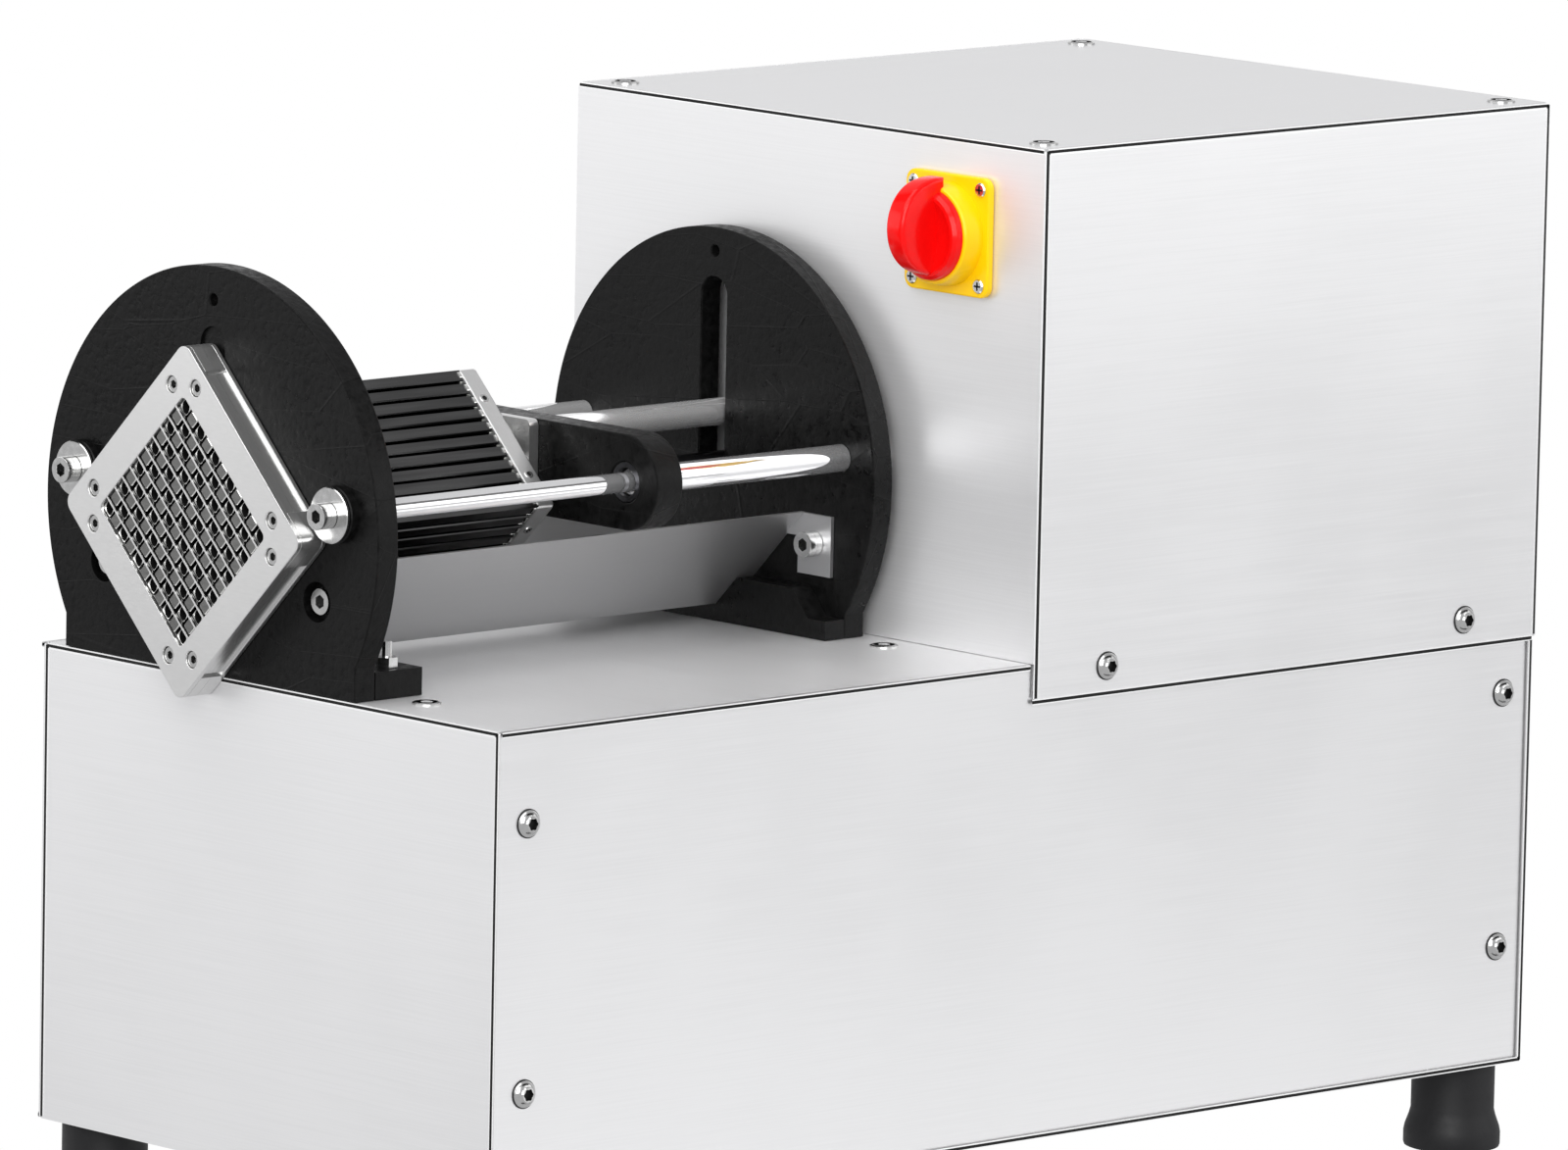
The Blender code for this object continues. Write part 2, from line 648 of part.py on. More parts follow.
def front_screws():
    """Button-head screws of the front panel and of the front skirt, one piece each."""
    for prefix, y, places in (("front_panel_screw", FRONT - GAP, panel_screw_places()),
                              ("skirt_screw", -HOUSING_HALF_DEPTH - GAP, skirt_screw_places())):
        for index, (x, z) in enumerate(places):
            group = Group()
            group.turned(button_profile(SCREW_RADIUS, SCREW_GRIP), "-y", (0, 0, 0), steps=12)
            screw = group.piece(f"{prefix}_{index + 1}", ZINC, (x, y, z))
            floor = y - SCREW_HEAD_HEIGHT + BUTTON_SOCKET_DEPTH
            hexagon_socket(screw, BUTTON_SOCKET_RADIUS, BUTTON_SOCKET_DEPTH, "-y", (x, floor, z))


def base_screw_places():
    y = AXIS_Y - BASE_SCREW_OFFSET
    front_x = FRONT_DISC_RIGHT + FRONT_BAR_DEPTH / 2
    return [(front_x, y), (REAR_DISC_LEFT, y)]


# Housing

def top_screw_places():
    return [(x, y) for x in (HOUSING_LEFT + TOP_SCREW_INSET, RIGHT - TOP_SCREW_INSET)
            for y in (FRONT + TOP_SCREW_INSET, BACK - TOP_SCREW_INSET)]


def housing():
    height = HOUSING_TOP - SKIRT_BOTTOM
    start = PANEL_INSIDE + GAP
    length = RIGHT - start
    outline = channel(HOUSING_HALF_DEPTH, height, SHEET, BEND_RADIUS)
    mid_x = (start + RIGHT) / 2
    wrap = plate("housing_wrap", [outline], length, "x", (mid_x, 0, SKIRT_BOTTOM), BRUSHED)
    tools = Group()
    for x, z in skirt_screw_places():
        tools.rod(SCREW_RADIUS + GAP, 4 * SHEET, "+y", (x, -HOUSING_HALF_DEPTH - SHEET, z), 12)
    cut(wrap, tools.cutter("skirt_screw_holes"))
    places = [(x, y, HOUSING_TOP) for x, y in top_screw_places()]
    heads = flat_heads(places)
    add_heads(heads, [(x, HOUSING_HALF_DEPTH + GAP, z) for x, z in skirt_screw_places()], "+y")
    cut(wrap, heads.cutter("housing_wrap_screws"), "UNION")
    flat_sockets(wrap, places)

    rise = HOUSING_RISE - GAP
    half = HOUSING_HALF_DEPTH
    face = arc((half - BEND_RADIUS, rise - BEND_RADIUS), BEND_RADIUS, 0, 90, 4)
    face += arc((BEND_RADIUS - half, rise - BEND_RADIUS), BEND_RADIUS, 90, 180, 4)
    left_face = face + [(-half, 0), (half, 0)]
    slot = [(AXIS_Y + u, AXIS_RISE - GAP + v) for u, v in ram_slot()]
    switch = circle((SWITCH_Y, SWITCH_RISE - GAP), SWITCH_NECK_RADIUS + GAP, 20)
    plate("housing_left_panel", [left_face, slot, switch], SHEET, "x",
          (HOUSING_LEFT + SHEET / 2, 0, BASE_TOP + GAP), BRUSHED)

    right_face = face + [(-half, -SKIRT_DROP - GAP), (half, -SKIRT_DROP - GAP)]
    vents = []
    for index in range(VENT_COUNT):
        low = VENT_RISE + index * VENT_PITCH
        vents.append(rectangle(-VENT_LENGTH / 2, low, VENT_LENGTH / 2, low + VENT_WIDTH,
                               VENT_CORNER))
    plate("housing_right_panel", [right_face] + vents, SHEET, "x",
          (RIGHT + GAP + SHEET / 2, 0, BASE_TOP + GAP), BRUSHED)


# End discs and foot bars

def disc_outline(radius, foot_half):
    meet = math.degrees(math.acos(foot_half / radius))
    points = arc((0, 0), radius, -meet, 180 + meet, 52)
    foot = GAP - AXIS_RISE
    return points + [(-foot_half, foot), (foot_half, foot)]


def ram_slot():
    half = SLOT_WIDTH / 2
    return stadium(0, SLOT_TOP - half, half)


def pair(spread, rise, radius, steps=16):
    return [circle((side * spread, rise), radius, steps) for side in (-1, 1)]


def end_discs():
    shared = pair(TROUGH_SCREW_SPREAD, TROUGH_SCREW_RISE, TROUGH_SCREW_RADIUS + GAP)
    shared.append(circle((0, LOCATING_HOLE_RISE), LOCATING_HOLE_RADIUS, 12))
    outline = disc_outline(FRONT_DISC_RADIUS, FRONT_FOOT_HALF)
    front = [outline, square_on_corner(APERTURE_SIDE, APERTURE_CORNER)] + shared
    front += [circle(point, RING_SCREW_RADIUS + GAP, 10) for point in ring_screw_places()]
    front_mid = FRONT_DISC_LEFT + DISC_THICKNESS / 2
    disc = plate("front_disc", front, DISC_THICKNESS, "x", (front_mid, AXIS_Y, AXIS_Z), BLACK_BOARD)
    bosses = Group()
    tools = Group()
    for side in (-1, 1):
        centre = (FRONT_DISC_LEFT + GAP, AXIS_Y + side * TIE_ROD_SPREAD, AXIS_Z + TIE_ROD_RISE)
        bosses.rod(TIE_ROD_BOSS_RADIUS, TIE_ROD_BOSS + GAP, "-x", centre, 20)
        tools.rod(TIE_ROD_NECK_RADIUS + GAP, 2 * (TIE_ROD_BOSS + DISC_THICKNESS), "+x",
                  (centre[0] - 2 * TIE_ROD_BOSS, centre[1], centre[2]), 16)
    cut(disc, bosses.cutter("tie_rod_bosses"), "UNION", "MANIFOLD")
    pocket_low = (RING_SIDE + APERTURE_SIDE) / 2 * math.sqrt(0.5)
    half = SLOT_WIDTH / 2
    pocket = stadium(pocket_low, SLOT_TOP - half, half)
    tools.add(plate_mesh([pocket], 2 * SLOT_POCKET_DEPTH, "x"), (FRONT_DISC_LEFT, AXIS_Y, AXIS_Z))
    for side in (-1, 1):
        tools.rod(COUNTERBORE_RADIUS, 2 * COUNTERBORE_DEPTH, "+x",
                  (FRONT_DISC_LEFT - COUNTERBORE_DEPTH, AXIS_Y + side * TROUGH_SCREW_SPREAD,
                   AXIS_Z + TROUGH_SCREW_RISE), 16)
    cut(disc, tools.cutter("front_disc_pockets"), "DIFFERENCE", "MANIFOLD")

    rear = [disc_outline(REAR_DISC_RADIUS, REAR_FOOT_HALF), ram_slot()] + shared
    rear += pair(TIE_ROD_SPREAD, TIE_ROD_RISE, TIE_ROD_NECK_RADIUS + GAP)
    rear_mid = REAR_DISC_LEFT + DISC_THICKNESS / 2
    plate("rear_disc", rear, DISC_THICKNESS, "x", (rear_mid, AXIS_Y, AXIS_Z), BLACK_BOARD)


def trough_line(rise, distance):
    """How far from the middle the trough's sloping wall is, at a height over the axis."""
    return distance * math.sqrt(2) + rise


def bar_outline(half_length, end_height, middle_height):
    """Half of a foot bar from its outer end to the notch that carries the trough."""
    floor = GAP - AXIS_RISE
    low = end_height - AXIS_RISE
    high = middle_height - AXIS_RISE
    seat = TROUGH_DISTANCE + TROUGH_WALL + GAP
    notch = TROUGH_BOTTOM - TROUGH_WALL - GAP
    right = [(half_length, floor), (half_length, low)]
    if middle_height > end_height:
        right += [(BAR_SHOULDER + BAR_SLOPE, low), (BAR_SHOULDER, high)]
    right += [(trough_line(high, seat), high), (trough_line(notch, seat), notch)]
    left = [(-u, v) for u, v in reversed(right)]
    return right + left


def bar_stud_places():
    x = FRONT_DISC_RIGHT + GAP + FRONT_BAR_DEPTH / 2
    return [(x, AXIS_Y + side * BAR_STUD_OFFSET) for side in (-1, 1)]


def foot_bars():
    front = bar_outline(FRONT_FOOT_HALF, FRONT_BAR_HEIGHT, FRONT_BAR_HEIGHT)
    bar = plate("front_foot_bar", [front], FRONT_BAR_DEPTH, "x",
                (FRONT_DISC_RIGHT + GAP + FRONT_BAR_DEPTH / 2, AXIS_Y, AXIS_Z), BLACK_BOARD)
    bores = Group()
    seat = BASE_TOP + FRONT_BAR_HEIGHT + GAP
    for label, (x, y) in zip(("near", "far"), bar_stud_places()):
        bores.rod(BAR_STUD_RADIUS + GAP, 2 * FRONT_BAR_HEIGHT, "+z",
                  (x, y, BASE_TOP - FRONT_BAR_HEIGHT / 2), 12)
        stud = Group()
        stud.rod(BAR_STUD_RADIUS, FRONT_BAR_HEIGHT + BAR_STUD_HEIGHT + SCREW_GRIP, "+z",
                 (0, 0, -FRONT_BAR_HEIGHT - SCREW_GRIP - GAP), 12)
        piece = stud.piece(f"foot_bar_stud_{label}", ZINC, (x, y, seat))
        nut = Group()
        nut.rod(BAR_NUT_RADIUS, BAR_NUT, "+z", (x, y, seat), 6)
        cut(piece, nut.cutter(f"foot_bar_nut_{label}"), "UNION")
    cut(bar, bores.cutter("foot_bar_bores"))
    rear = bar_outline(REAR_FOOT_HALF, REAR_BAR_END_HEIGHT, REAR_BAR_HEIGHT)
    plate("rear_foot_bar", [rear], REAR_BAR_DEPTH, "x",
          (REAR_DISC_LEFT - GAP - REAR_BAR_DEPTH / 2, AXIS_Y, AXIS_Z), BLACK_BOARD)


# Tie rods

def tie_rods():
    """Stepped rods: the carriage runs on the thick length, and the neck goes to the front disc."""
    shoulder = CARRIAGE_LEFT + CARRIAGE_RELIEF
    neck = TIE_ROD_NECK_RADIUS
    rear_face = REAR_DISC_LEFT - GAP
    profile = [(0, FRONT_DISC_LEFT), (neck, FRONT_DISC_LEFT), (neck, shoulder),
               (TIE_ROD_RADIUS, shoulder), (TIE_ROD_RADIUS, rear_face), (neck, rear_face),
               (neck, REAR_DISC_RIGHT), (0, REAR_DISC_RIGHT)]
    washer_face = FRONT_DISC_LEFT - TIE_ROD_BOSS - GAP
    cap_face = washer_face - WASHER_THICKNESS - GAP
    dome = [(DOME_RADIUS * math.cos(step * TURN / 16), DOME_HEIGHT * math.sin(step * TURN / 16))
            for step in range(4)]
    for label, side in (("near", -1), ("far", 1)):
        y = AXIS_Y + side * TIE_ROD_SPREAD
        z = AXIS_Z + TIE_ROD_RISE
        rod = Group()
        rod.turned(profile, "+x", (0, 0, 0), steps=20)
        rod.piece(f"tie_rod_{label}", CHROME, (0, y, z))
        washer = Group()
        washer.tube(WASHER_RADIUS, neck, WASHER_THICKNESS, "-x", (0, 0, 0), 20)
        washer.piece(f"tie_rod_washer_{label}", ZINC, (washer_face, y, z))
        cap = Group()
        grip = FRONT_DISC_LEFT - GAP - cap_face
        cap.turned(cap_profile(neck - GAP, grip, CAP_HEAD_RADIUS, CAP_HEAD_HEIGHT), "-x", (0, 0, 0), 16)
        screw = cap.piece(f"tie_rod_cap_screw_{label}", ZINC, (cap_face, y, z))
        hexagon_socket(screw, CAP_SOCKET_RADIUS, CAP_SOCKET_DEPTH, "-x",
                       (cap_face - CAP_HEAD_HEIGHT + CAP_SOCKET_DEPTH, y, z))
        nut = Group()
        nut.turned([(0, 0)] + dome + [(0, DOME_HEIGHT)], "+x", (0, 0, 0), 14)
        nut.piece(f"tie_rod_dome_nut_{label}", ZINC, (REAR_DISC_RIGHT + GAP, y, z))


# V trough

def trough():
    inner_top = trough_line(TROUGH_TOP, TROUGH_DISTANCE)
    inner_low = trough_line(TROUGH_BOTTOM, TROUGH_DISTANCE)
    outer = TROUGH_DISTANCE + TROUGH_WALL
    floor = TROUGH_BOTTOM - TROUGH_WALL
    right = [(inner_low, TROUGH_BOTTOM), (inner_top, TROUGH_TOP),
             (trough_line(TROUGH_TOP, outer), TROUGH_TOP), (trough_line(floor, outer), floor)]
    left = [(-u, v) for u, v in reversed(right)]
    start = FRONT_DISC_RIGHT + GAP
    end = REAR_DISC_LEFT - GAP
    length = end - start - TROUGH_WALL
    body = plate("v_trough", [right + left], length, "x", ((start + end) / 2, AXIS_Y, AXIS_Z),
                 BRUSHED)
    tabs = Group()
    hole = TROUGH_SCREW_RADIUS + GAP
    for x in (start + TROUGH_WALL / 2, end - TROUGH_WALL / 2):
        for side in (-1, 1):
            foot = TROUGH_TOP - TAB_DROP
            head = TROUGH_TOP - GAP
            mid = trough_line(head, TROUGH_DISTANCE + TROUGH_WALL / 2)
            elbow = head + TAB_INNER - mid - TAB_SHOULDER
            shape = [(mid, head), (TAB_OUTER, head), (TAB_OUTER, foot), (TAB_INNER, foot),
                     (TAB_INNER, elbow), (mid + elbow - head, elbow)]
            tab = [(side * u, v) for u, v in shape]
            bore = circle((side * TROUGH_SCREW_SPREAD, TROUGH_SCREW_RISE), hole)
            tabs.add(plate_mesh([tab, bore], TROUGH_WALL, "x"), (x, AXIS_Y, AXIS_Z))
    cut(body, tabs.cutter("trough_tabs"), "UNION")

    z = AXIS_Z + TROUGH_SCREW_RISE
    seat = FRONT_DISC_LEFT + COUNTERBORE_DEPTH - GAP
    for label, side in (("near", -1), ("far", 1)):
        y = AXIS_Y + side * TROUGH_SCREW_SPREAD
        reach = start + TROUGH_WALL + GAP
        front = Group()
        front.turned(cap_profile(TROUGH_SCREW_RADIUS, reach - seat, CAP_HEAD_RADIUS,
                                 CAP_HEAD_HEIGHT / 2), "-x", (0, 0, 0), 20)
        screw = front.piece(f"trough_screw_front_{label}", ZINC, (seat, y, z))
        hexagon_socket(screw, CAP_SOCKET_RADIUS, CAP_SOCKET_DEPTH, "-x",
                       (seat - CAP_HEAD_HEIGHT / 2 + CAP_SOCKET_DEPTH, y, z))
        rear = Group()
        rear.turned(cap_profile(TROUGH_SCREW_RADIUS, DISC_THICKNESS, CAP_HEAD_RADIUS,
                                CAP_HEAD_HEIGHT), "-x", (0, 0, 0), 20)
        face = end - TROUGH_WALL - GAP
        screw = rear.piece(f"trough_screw_rear_{label}", ZINC, (face, y, z))
        hexagon_socket(screw, CAP_SOCKET_RADIUS, CAP_SOCKET_DEPTH, "-x",
                       (face - CAP_HEAD_HEIGHT + CAP_SOCKET_DEPTH, y, z))


# Blade frame

def ring_screw_places():
    """Two screws near each corner of the ring, on the middle of its border."""
    middle = (RING_SIDE + APERTURE_SIDE) / 4
    along = RING_SIDE / 2 - RING_SCREW_FROM_CORNER
    flat = [(su * a, sv * b) for a, b in ((middle, along), (along, middle))
            for su in (-1, 1) for sv in (-1, 1)]
    return [stand_on_corner(point) for point in flat]


def blade_offsets():
    return [(index + 1) * CELL_PITCH - APERTURE_SIDE / 2 for index in range(CELLS - 1)]


def notched_aperture(rising):
    """The ring's square opening, with a slot for each blade end in two facing walls."""
    half = APERTURE_SIDE / 2
    deep = half + BLADE_SEAT + GAP
    slot = BLADE_THICKNESS / 2 + GAP
    wall = []
    for offset in blade_offsets():
        wall += [(half, offset - slot), (deep, offset - slot), (deep, offset + slot),
                 (half, offset + slot)]
    right = [(half, -half)] + wall + [(half, half)]
    left = [(-u, -v) for u, v in right]
    flat = right + left
    if not rising:
        flat = [(-v, u) for u, v in flat]
    return [stand_on_corner(point) for point in flat]


def blade_set(mid, turn):
    """Parallel blades that run into the ring's slots and end a little inside its wall."""
    group = Group()
    span = APERTURE_SIDE + 2 * (BLADE_SEAT + 2 * GAP)
    for offset in blade_offsets():
        group.block((BLADE_HEIGHT, span, BLADE_THICKNESS), (0, 0, offset))
    tool = group.cutter(f"blades_{turn}")
    tool.location = (mid, AXIS_Y, AXIS_Z)
    tool.rotation_euler = (math.radians(turn), 0, 0)
    return tool


def side_grooves():
    """A shallow channel along each side of the two rings, between their corner blocks."""
    group = Group()
    along = RING_SIDE - 2 * RING_BLOCK
    wide = 2 * (RING_THICKNESS - RING_LIP) + GAP
    for side in (-1, 1):
        group.block((wide, along, 2 * RING_GROOVE), (0, 0, side * RING_SIDE / 2))
        group.block((wide, 2 * RING_GROOVE, along), (0, side * RING_SIDE / 2, 0))
    tool = group.cutter("ring_side_grooves")
    tool.location = (RING_FRONT + RING_THICKNESS + GAP / 2, AXIS_Y, AXIS_Z)
    tool.rotation_euler = (math.radians(45), 0, 0)
    return tool


def blade_frame():
    front_mid = RING_FRONT + RING_THICKNESS / 2
    rear_mid = front_mid + RING_THICKNESS + GAP
    outer = square_on_corner(RING_SIDE, RING_CORNER)
    front = plate("blade_ring_front", [outer, notched_aperture(True)], RING_THICKNESS, "x",
                  (front_mid, AXIS_Y, AXIS_Z), MACHINED)
    shanks = [circle(point, RING_SCREW_RADIUS + GAP, 10) for point in ring_screw_places()]
    rear = plate("blade_ring_rear", [outer, notched_aperture(False)] + shanks, RING_THICKNESS, "x",
                 (rear_mid, AXIS_Y, AXIS_Z), MACHINED)
    seat = RING_FRONT + RING_SCREW_SINK
    recesses = Group()
    screws = Group()
    sockets = Group()
    for u, v in ring_screw_places():
        place = (seat, AXIS_Y + u, AXIS_Z + v)
        recesses.rod(RING_SCREW_HEAD_RADIUS + GAP, 2 * RING_SCREW_SINK, "-x", place, 12)
        head = RING_SCREW_SINK - RING_SCREW_LOW
        screws.turned(cap_profile(RING_SCREW_RADIUS, FRONT_DISC_RIGHT - seat,
                                  RING_SCREW_HEAD_RADIUS, head)[:3]
                      + [(RING_SCREW_HEAD_RADIUS, -GAP), (RING_SCREW_HEAD_RADIUS, head), (0, head)],
                      "-x", place, 10)
        sockets.rod(RING_SOCKET_RADIUS, 2 * RING_SOCKET_DEPTH, "-x",
                    (seat - head + RING_SOCKET_DEPTH, place[1], place[2]), 6)
    cut(front, blade_set(front_mid, 45), "UNION")
    cut(rear, blade_set(rear_mid, -45), "UNION", "MANIFOLD")
    cut(front, recesses.cutter("ring_screw_recesses"))
    cut(front, screws.cutter("ring_screws"), "UNION")
    cut(front, sockets.cutter("ring_screw_sockets"))
    grooves = side_grooves()
    cut(front, grooves)
    cut(rear, grooves, "DIFFERENCE", "MANIFOLD")


# Pusher and carriage

def pusher():
    """The pusher plate with one pin for every cell; every second pin has a hollow tip."""
    left = LEFT + PUSHER_START
    mid = left + PUSHER_THICKNESS / 2
    base = plate("pusher_plate", [square_on_corner(PUSHER_PLATE_SIDE, APERTURE_CORNER)],
                 PUSHER_THICKNESS, "x", (mid, AXIS_Y, AXIS_Z), MACHINED)
    half = PIN_SIDE / 2
    section = [(half, half), (-half, half), (-half, -half), (half, -half)]
    tip = RING_FRONT + PIN_TIP_SINK
    root = left + PIN_ROOT
    pins = Group()
    bores = Group()
    for row in range(CELLS):
        for column in range(CELLS):
            u = (column + 0.5) * CELL_PITCH - APERTURE_SIDE / 2
            v = (row + 0.5) * CELL_PITCH - APERTURE_SIDE / 2
            hollow = (row + column) % 2 == 0
            shift = PIN_STAGGER if hollow else 0
            if hollow:
                y, z = stand_on_corner((u, v))
                bores.rod(PIN_BORE_RADIUS, 2 * PIN_BORE_DEPTH, "+x",
                          (tip + shift - PIN_BORE_DEPTH, AXIS_Y + y, AXIS_Z + z), 8)
            length = root - tip - shift
            outline = [stand_on_corner((u + du, v + dv)) for du, dv in section]
            pins.add(plate_mesh([outline], length, "x"), (root - length / 2, AXIS_Y, AXIS_Z))
    cut(base, pins.cutter("pusher_pins"), "UNION")
    cut(base, bores.cutter("pin_bores"))


def pusher_bolt_places():
    return [(side * PUSHER_BOLT_SPREAD, TIE_ROD_RISE) for side in (-1, 1)]


def carriage_outline():
    top = arc((TIE_ROD_SPREAD, TIE_ROD_RISE), CARRIAGE_END_RADIUS, -90, 90, 16)
    return top + arc((-TIE_ROD_SPREAD, TIE_ROD_RISE), CARRIAGE_END_RADIUS, 90, 270, 16)


def ram_bores(extra):
    upper = circle((0, UPPER_RAM_RISE), UPPER_RAM_RADIUS + extra, 24)
    lower = circle((0, 0), LOWER_RAM_RADIUS + extra, 24)
    return [upper, lower]


def carriage():
    middle = CARRIAGE_LEFT + CARRIAGE_THICKNESS / 2
    outlines = [carriage_outline()] + pair(TIE_ROD_SPREAD, TIE_ROD_RISE, BUSH_RADIUS + GAP, 24)
    outlines += ram_bores(GAP)
    outlines += [circle(point, PUSHER_BOLT_RADIUS + GAP, 12) for point in pusher_bolt_places()]
    plate("carriage_plate", outlines, CARRIAGE_THICKNESS, "x", (middle, AXIS_Y, AXIS_Z), BLACK_BOARD)

    inner = TIE_ROD_RADIUS + GAP
    length = CARRIAGE_THICKNESS - GAP
    profile = [(inner, 0), (BUSH_RADIUS, 0), (BUSH_RADIUS, length), (BUSH_FLANGE_RADIUS, length),
               (BUSH_FLANGE_RADIUS, length + BUSH_FLANGE), (inner, length + BUSH_FLANGE)]
    for label, side in (("near", -1), ("far", 1)):
        bush = Group()
        bush.turned(profile, "+x", (0, 0, 0), 16, ring=True)
        bush.piece(f"carriage_bush_{label}", BRONZE,
                   (CARRIAGE_LEFT + 2 * GAP, AXIS_Y + side * TIE_ROD_SPREAD, AXIS_Z + TIE_ROD_RISE))

    adapter = [rectangle(-ADAPTER_HALF_WIDTH, TIE_ROD_RISE - ADAPTER_HALF_HEIGHT,
                         ADAPTER_HALF_WIDTH, TIE_ROD_RISE + ADAPTER_HALF_HEIGHT, APERTURE_CORNER)]
    adapter += ram_bores(GAP)
    adapter += [circle(point, PUSHER_BOLT_RADIUS + GAP, 12) for point in pusher_bolt_places()]
    plate("adapter_plate", adapter, ADAPTER_THICKNESS, "x",
          (CARRIAGE_LEFT - GAP - ADAPTER_THICKNESS / 2, AXIS_Y, AXIS_Z), MACHINED)

    start = LEFT + PUSHER_START + PUSHER_THICKNESS + GAP
    spacer = CARRIAGE_LEFT - 2 * GAP - ADAPTER_THICKNESS - start
    for label, (u, v) in zip(("near", "far"), pusher_bolt_places()):
        reach = CARRIAGE_RIGHT + GAP
        neck = reach - start - spacer + GAP
        profile = [(0, -(reach - start)), (STANDOFF_RADIUS, -(reach - start)),
                   (STANDOFF_RADIUS, -neck), (PUSHER_BOLT_RADIUS, -neck),
                   (PUSHER_BOLT_RADIUS, 0), (CAP_HEAD_RADIUS, 0),
                   (CAP_HEAD_RADIUS, PUSHER_BOLT_RADIUS), (0, PUSHER_BOLT_RADIUS)]
        standoff = Group()
        standoff.turned(profile, "+x", (0, 0, 0), 12)
        standoff.piece(f"pusher_standoff_{label}", ZINC, (reach, AXIS_Y + u, AXIS_Z + v))


def ram_rods():
    end = CROSSHEAD_LEFT + CROSSHEAD_LENGTH - GAP
    start = CARRIAGE_LEFT - ADAPTER_THICKNESS - 2 * GAP
    for name, radius, rise, look in (
            ("ram_rod_upper", UPPER_RAM_RADIUS, UPPER_RAM_RISE, CHROME),
            ("ram_rod_lower", LOWER_RAM_RADIUS, 0, DARK_STEEL)):
        collar = min(RAM_COLLAR, start - GAP - (LEFT + PUSHER_START + PUSHER_THICKNESS + GAP))
        profile = [(0, start - collar), (RAM_COLLAR_RADIUS, start - collar),
                   (RAM_COLLAR_RADIUS, start), (radius, start), (radius, end), (0, end)]
        rod = Group()
        rod.turned(profile, "+x", (0, 0, 0), 20)
        rod.piece(name, look, (0, AXIS_Y, AXIS_Z + rise))

    low = -LOWER_RAM_RADIUS - GUIDE_MARGIN
    high = UPPER_RAM_RISE + UPPER_RAM_RADIUS + GUIDE_MARGIN
    guide = [rectangle(-GUIDE_HALF_WIDTH, low, GUIDE_HALF_WIDTH, high, APERTURE_CORNER)]
    plate("ram_guide_block", guide + ram_bores(RAM_CLEARANCE), GUIDE_LENGTH, "x",
          ((GUIDE_LEFT + GUIDE_RIGHT) / 2, AXIS_Y, AXIS_Z), BLACK_BOARD)


def crosshead():
    low = -LOWER_RAM_RADIUS - CROSSHEAD_MARGIN
    high = UPPER_RAM_RISE + UPPER_RAM_RADIUS + CROSSHEAD_MARGIN
    wide = CROSSHEAD_HALF_WIDTH
    block = [rectangle(-wide, low, wide, high, APERTURE_CORNER)] + ram_bores(GAP)
    piece = plate("crosshead", block, CROSSHEAD_LENGTH, "x", (CROSSHEAD_PIN_X, AXIS_Y, AXIS_Z),
                  DARK_STEEL)
    pin = Group()
    boss = SIDE_CLEARANCE - GAP
    pin.rod(CROSSHEAD_PIN_RADIUS, 2 * boss, "-y", (CROSSHEAD_PIN_X, AXIS_Y - wide + boss, RAM_Z))
    cut(piece, pin.cutter("crosshead_pin_boss"), "UNION")


# Crank drive

def connecting_rod():
    small = ROD_SMALL_EYE
    big = ROD_BIG_EYE
    small_meet = math.degrees(math.asin(ROD_HALF_WIDTH / small))
    big_meet = math.degrees(math.asin(ROD_HALF_WIDTH / big))
    outline = arc((-ROD_LENGTH, 0), small, small_meet, 360 - small_meet, 20)
    outline += arc((0, 0), big, 180 + big_meet, 540 - big_meet, 24)
    eyes = [circle((-ROD_LENGTH, 0), CROSSHEAD_PIN_RADIUS + GAP, 20),
            circle((0, 0), CRANK_PIN_RADIUS + GAP, 24)]
    middle = (ROD_FRONT_Y + ROD_BACK_Y) / 2
    plate("connecting_rod", [outline] + eyes, ROD_THICKNESS, "y", (CRANK_PIN_X, middle, RAM_Z),
          DARK_STEEL)


def crank():
    middle = (CRANK_FRONT_Y + CRANK_BACK_Y) / 2
    rim = CRANK_THROW + CRANK_RIM
    web = rim * CRANK_WAIST
    shape = arc((0, 0), rim, -60, 60, 18)
    shape += arc((0, 0), web, 80, 115, 4)
    shape += arc((-CRANK_THROW, 0), CRANK_RIM, 90, 270, 14)
    shape += arc((0, 0), web, 245, 280, 4)
    bore = circle((0, 0), SHAFT_RADIUS + GAP, 28)
    arm = plate("crank", [shape, bore], CRANK_THICKNESS, "y", (CRANK_X, middle, RAM_Z), CASTING)
    pin = Group()
    pin.rod(CRANK_PIN_RADIUS, ROD_BACK_Y - middle, "+y", (CRANK_PIN_X, middle, RAM_Z))
    cut(arm, pin.cutter("crank_pin"), "UNION")
    shaft = Group()
    sink = GEARBOX_DEPTH / 4
    shaft.rod(SHAFT_RADIUS, CRANK_BACK_Y - GEARBOX_BACK_Y + sink, "+y", (0, 0, 0), 24)
    shaft.piece("output_shaft", MACHINED, (CRANK_X, GEARBOX_BACK_Y - sink, RAM_Z))


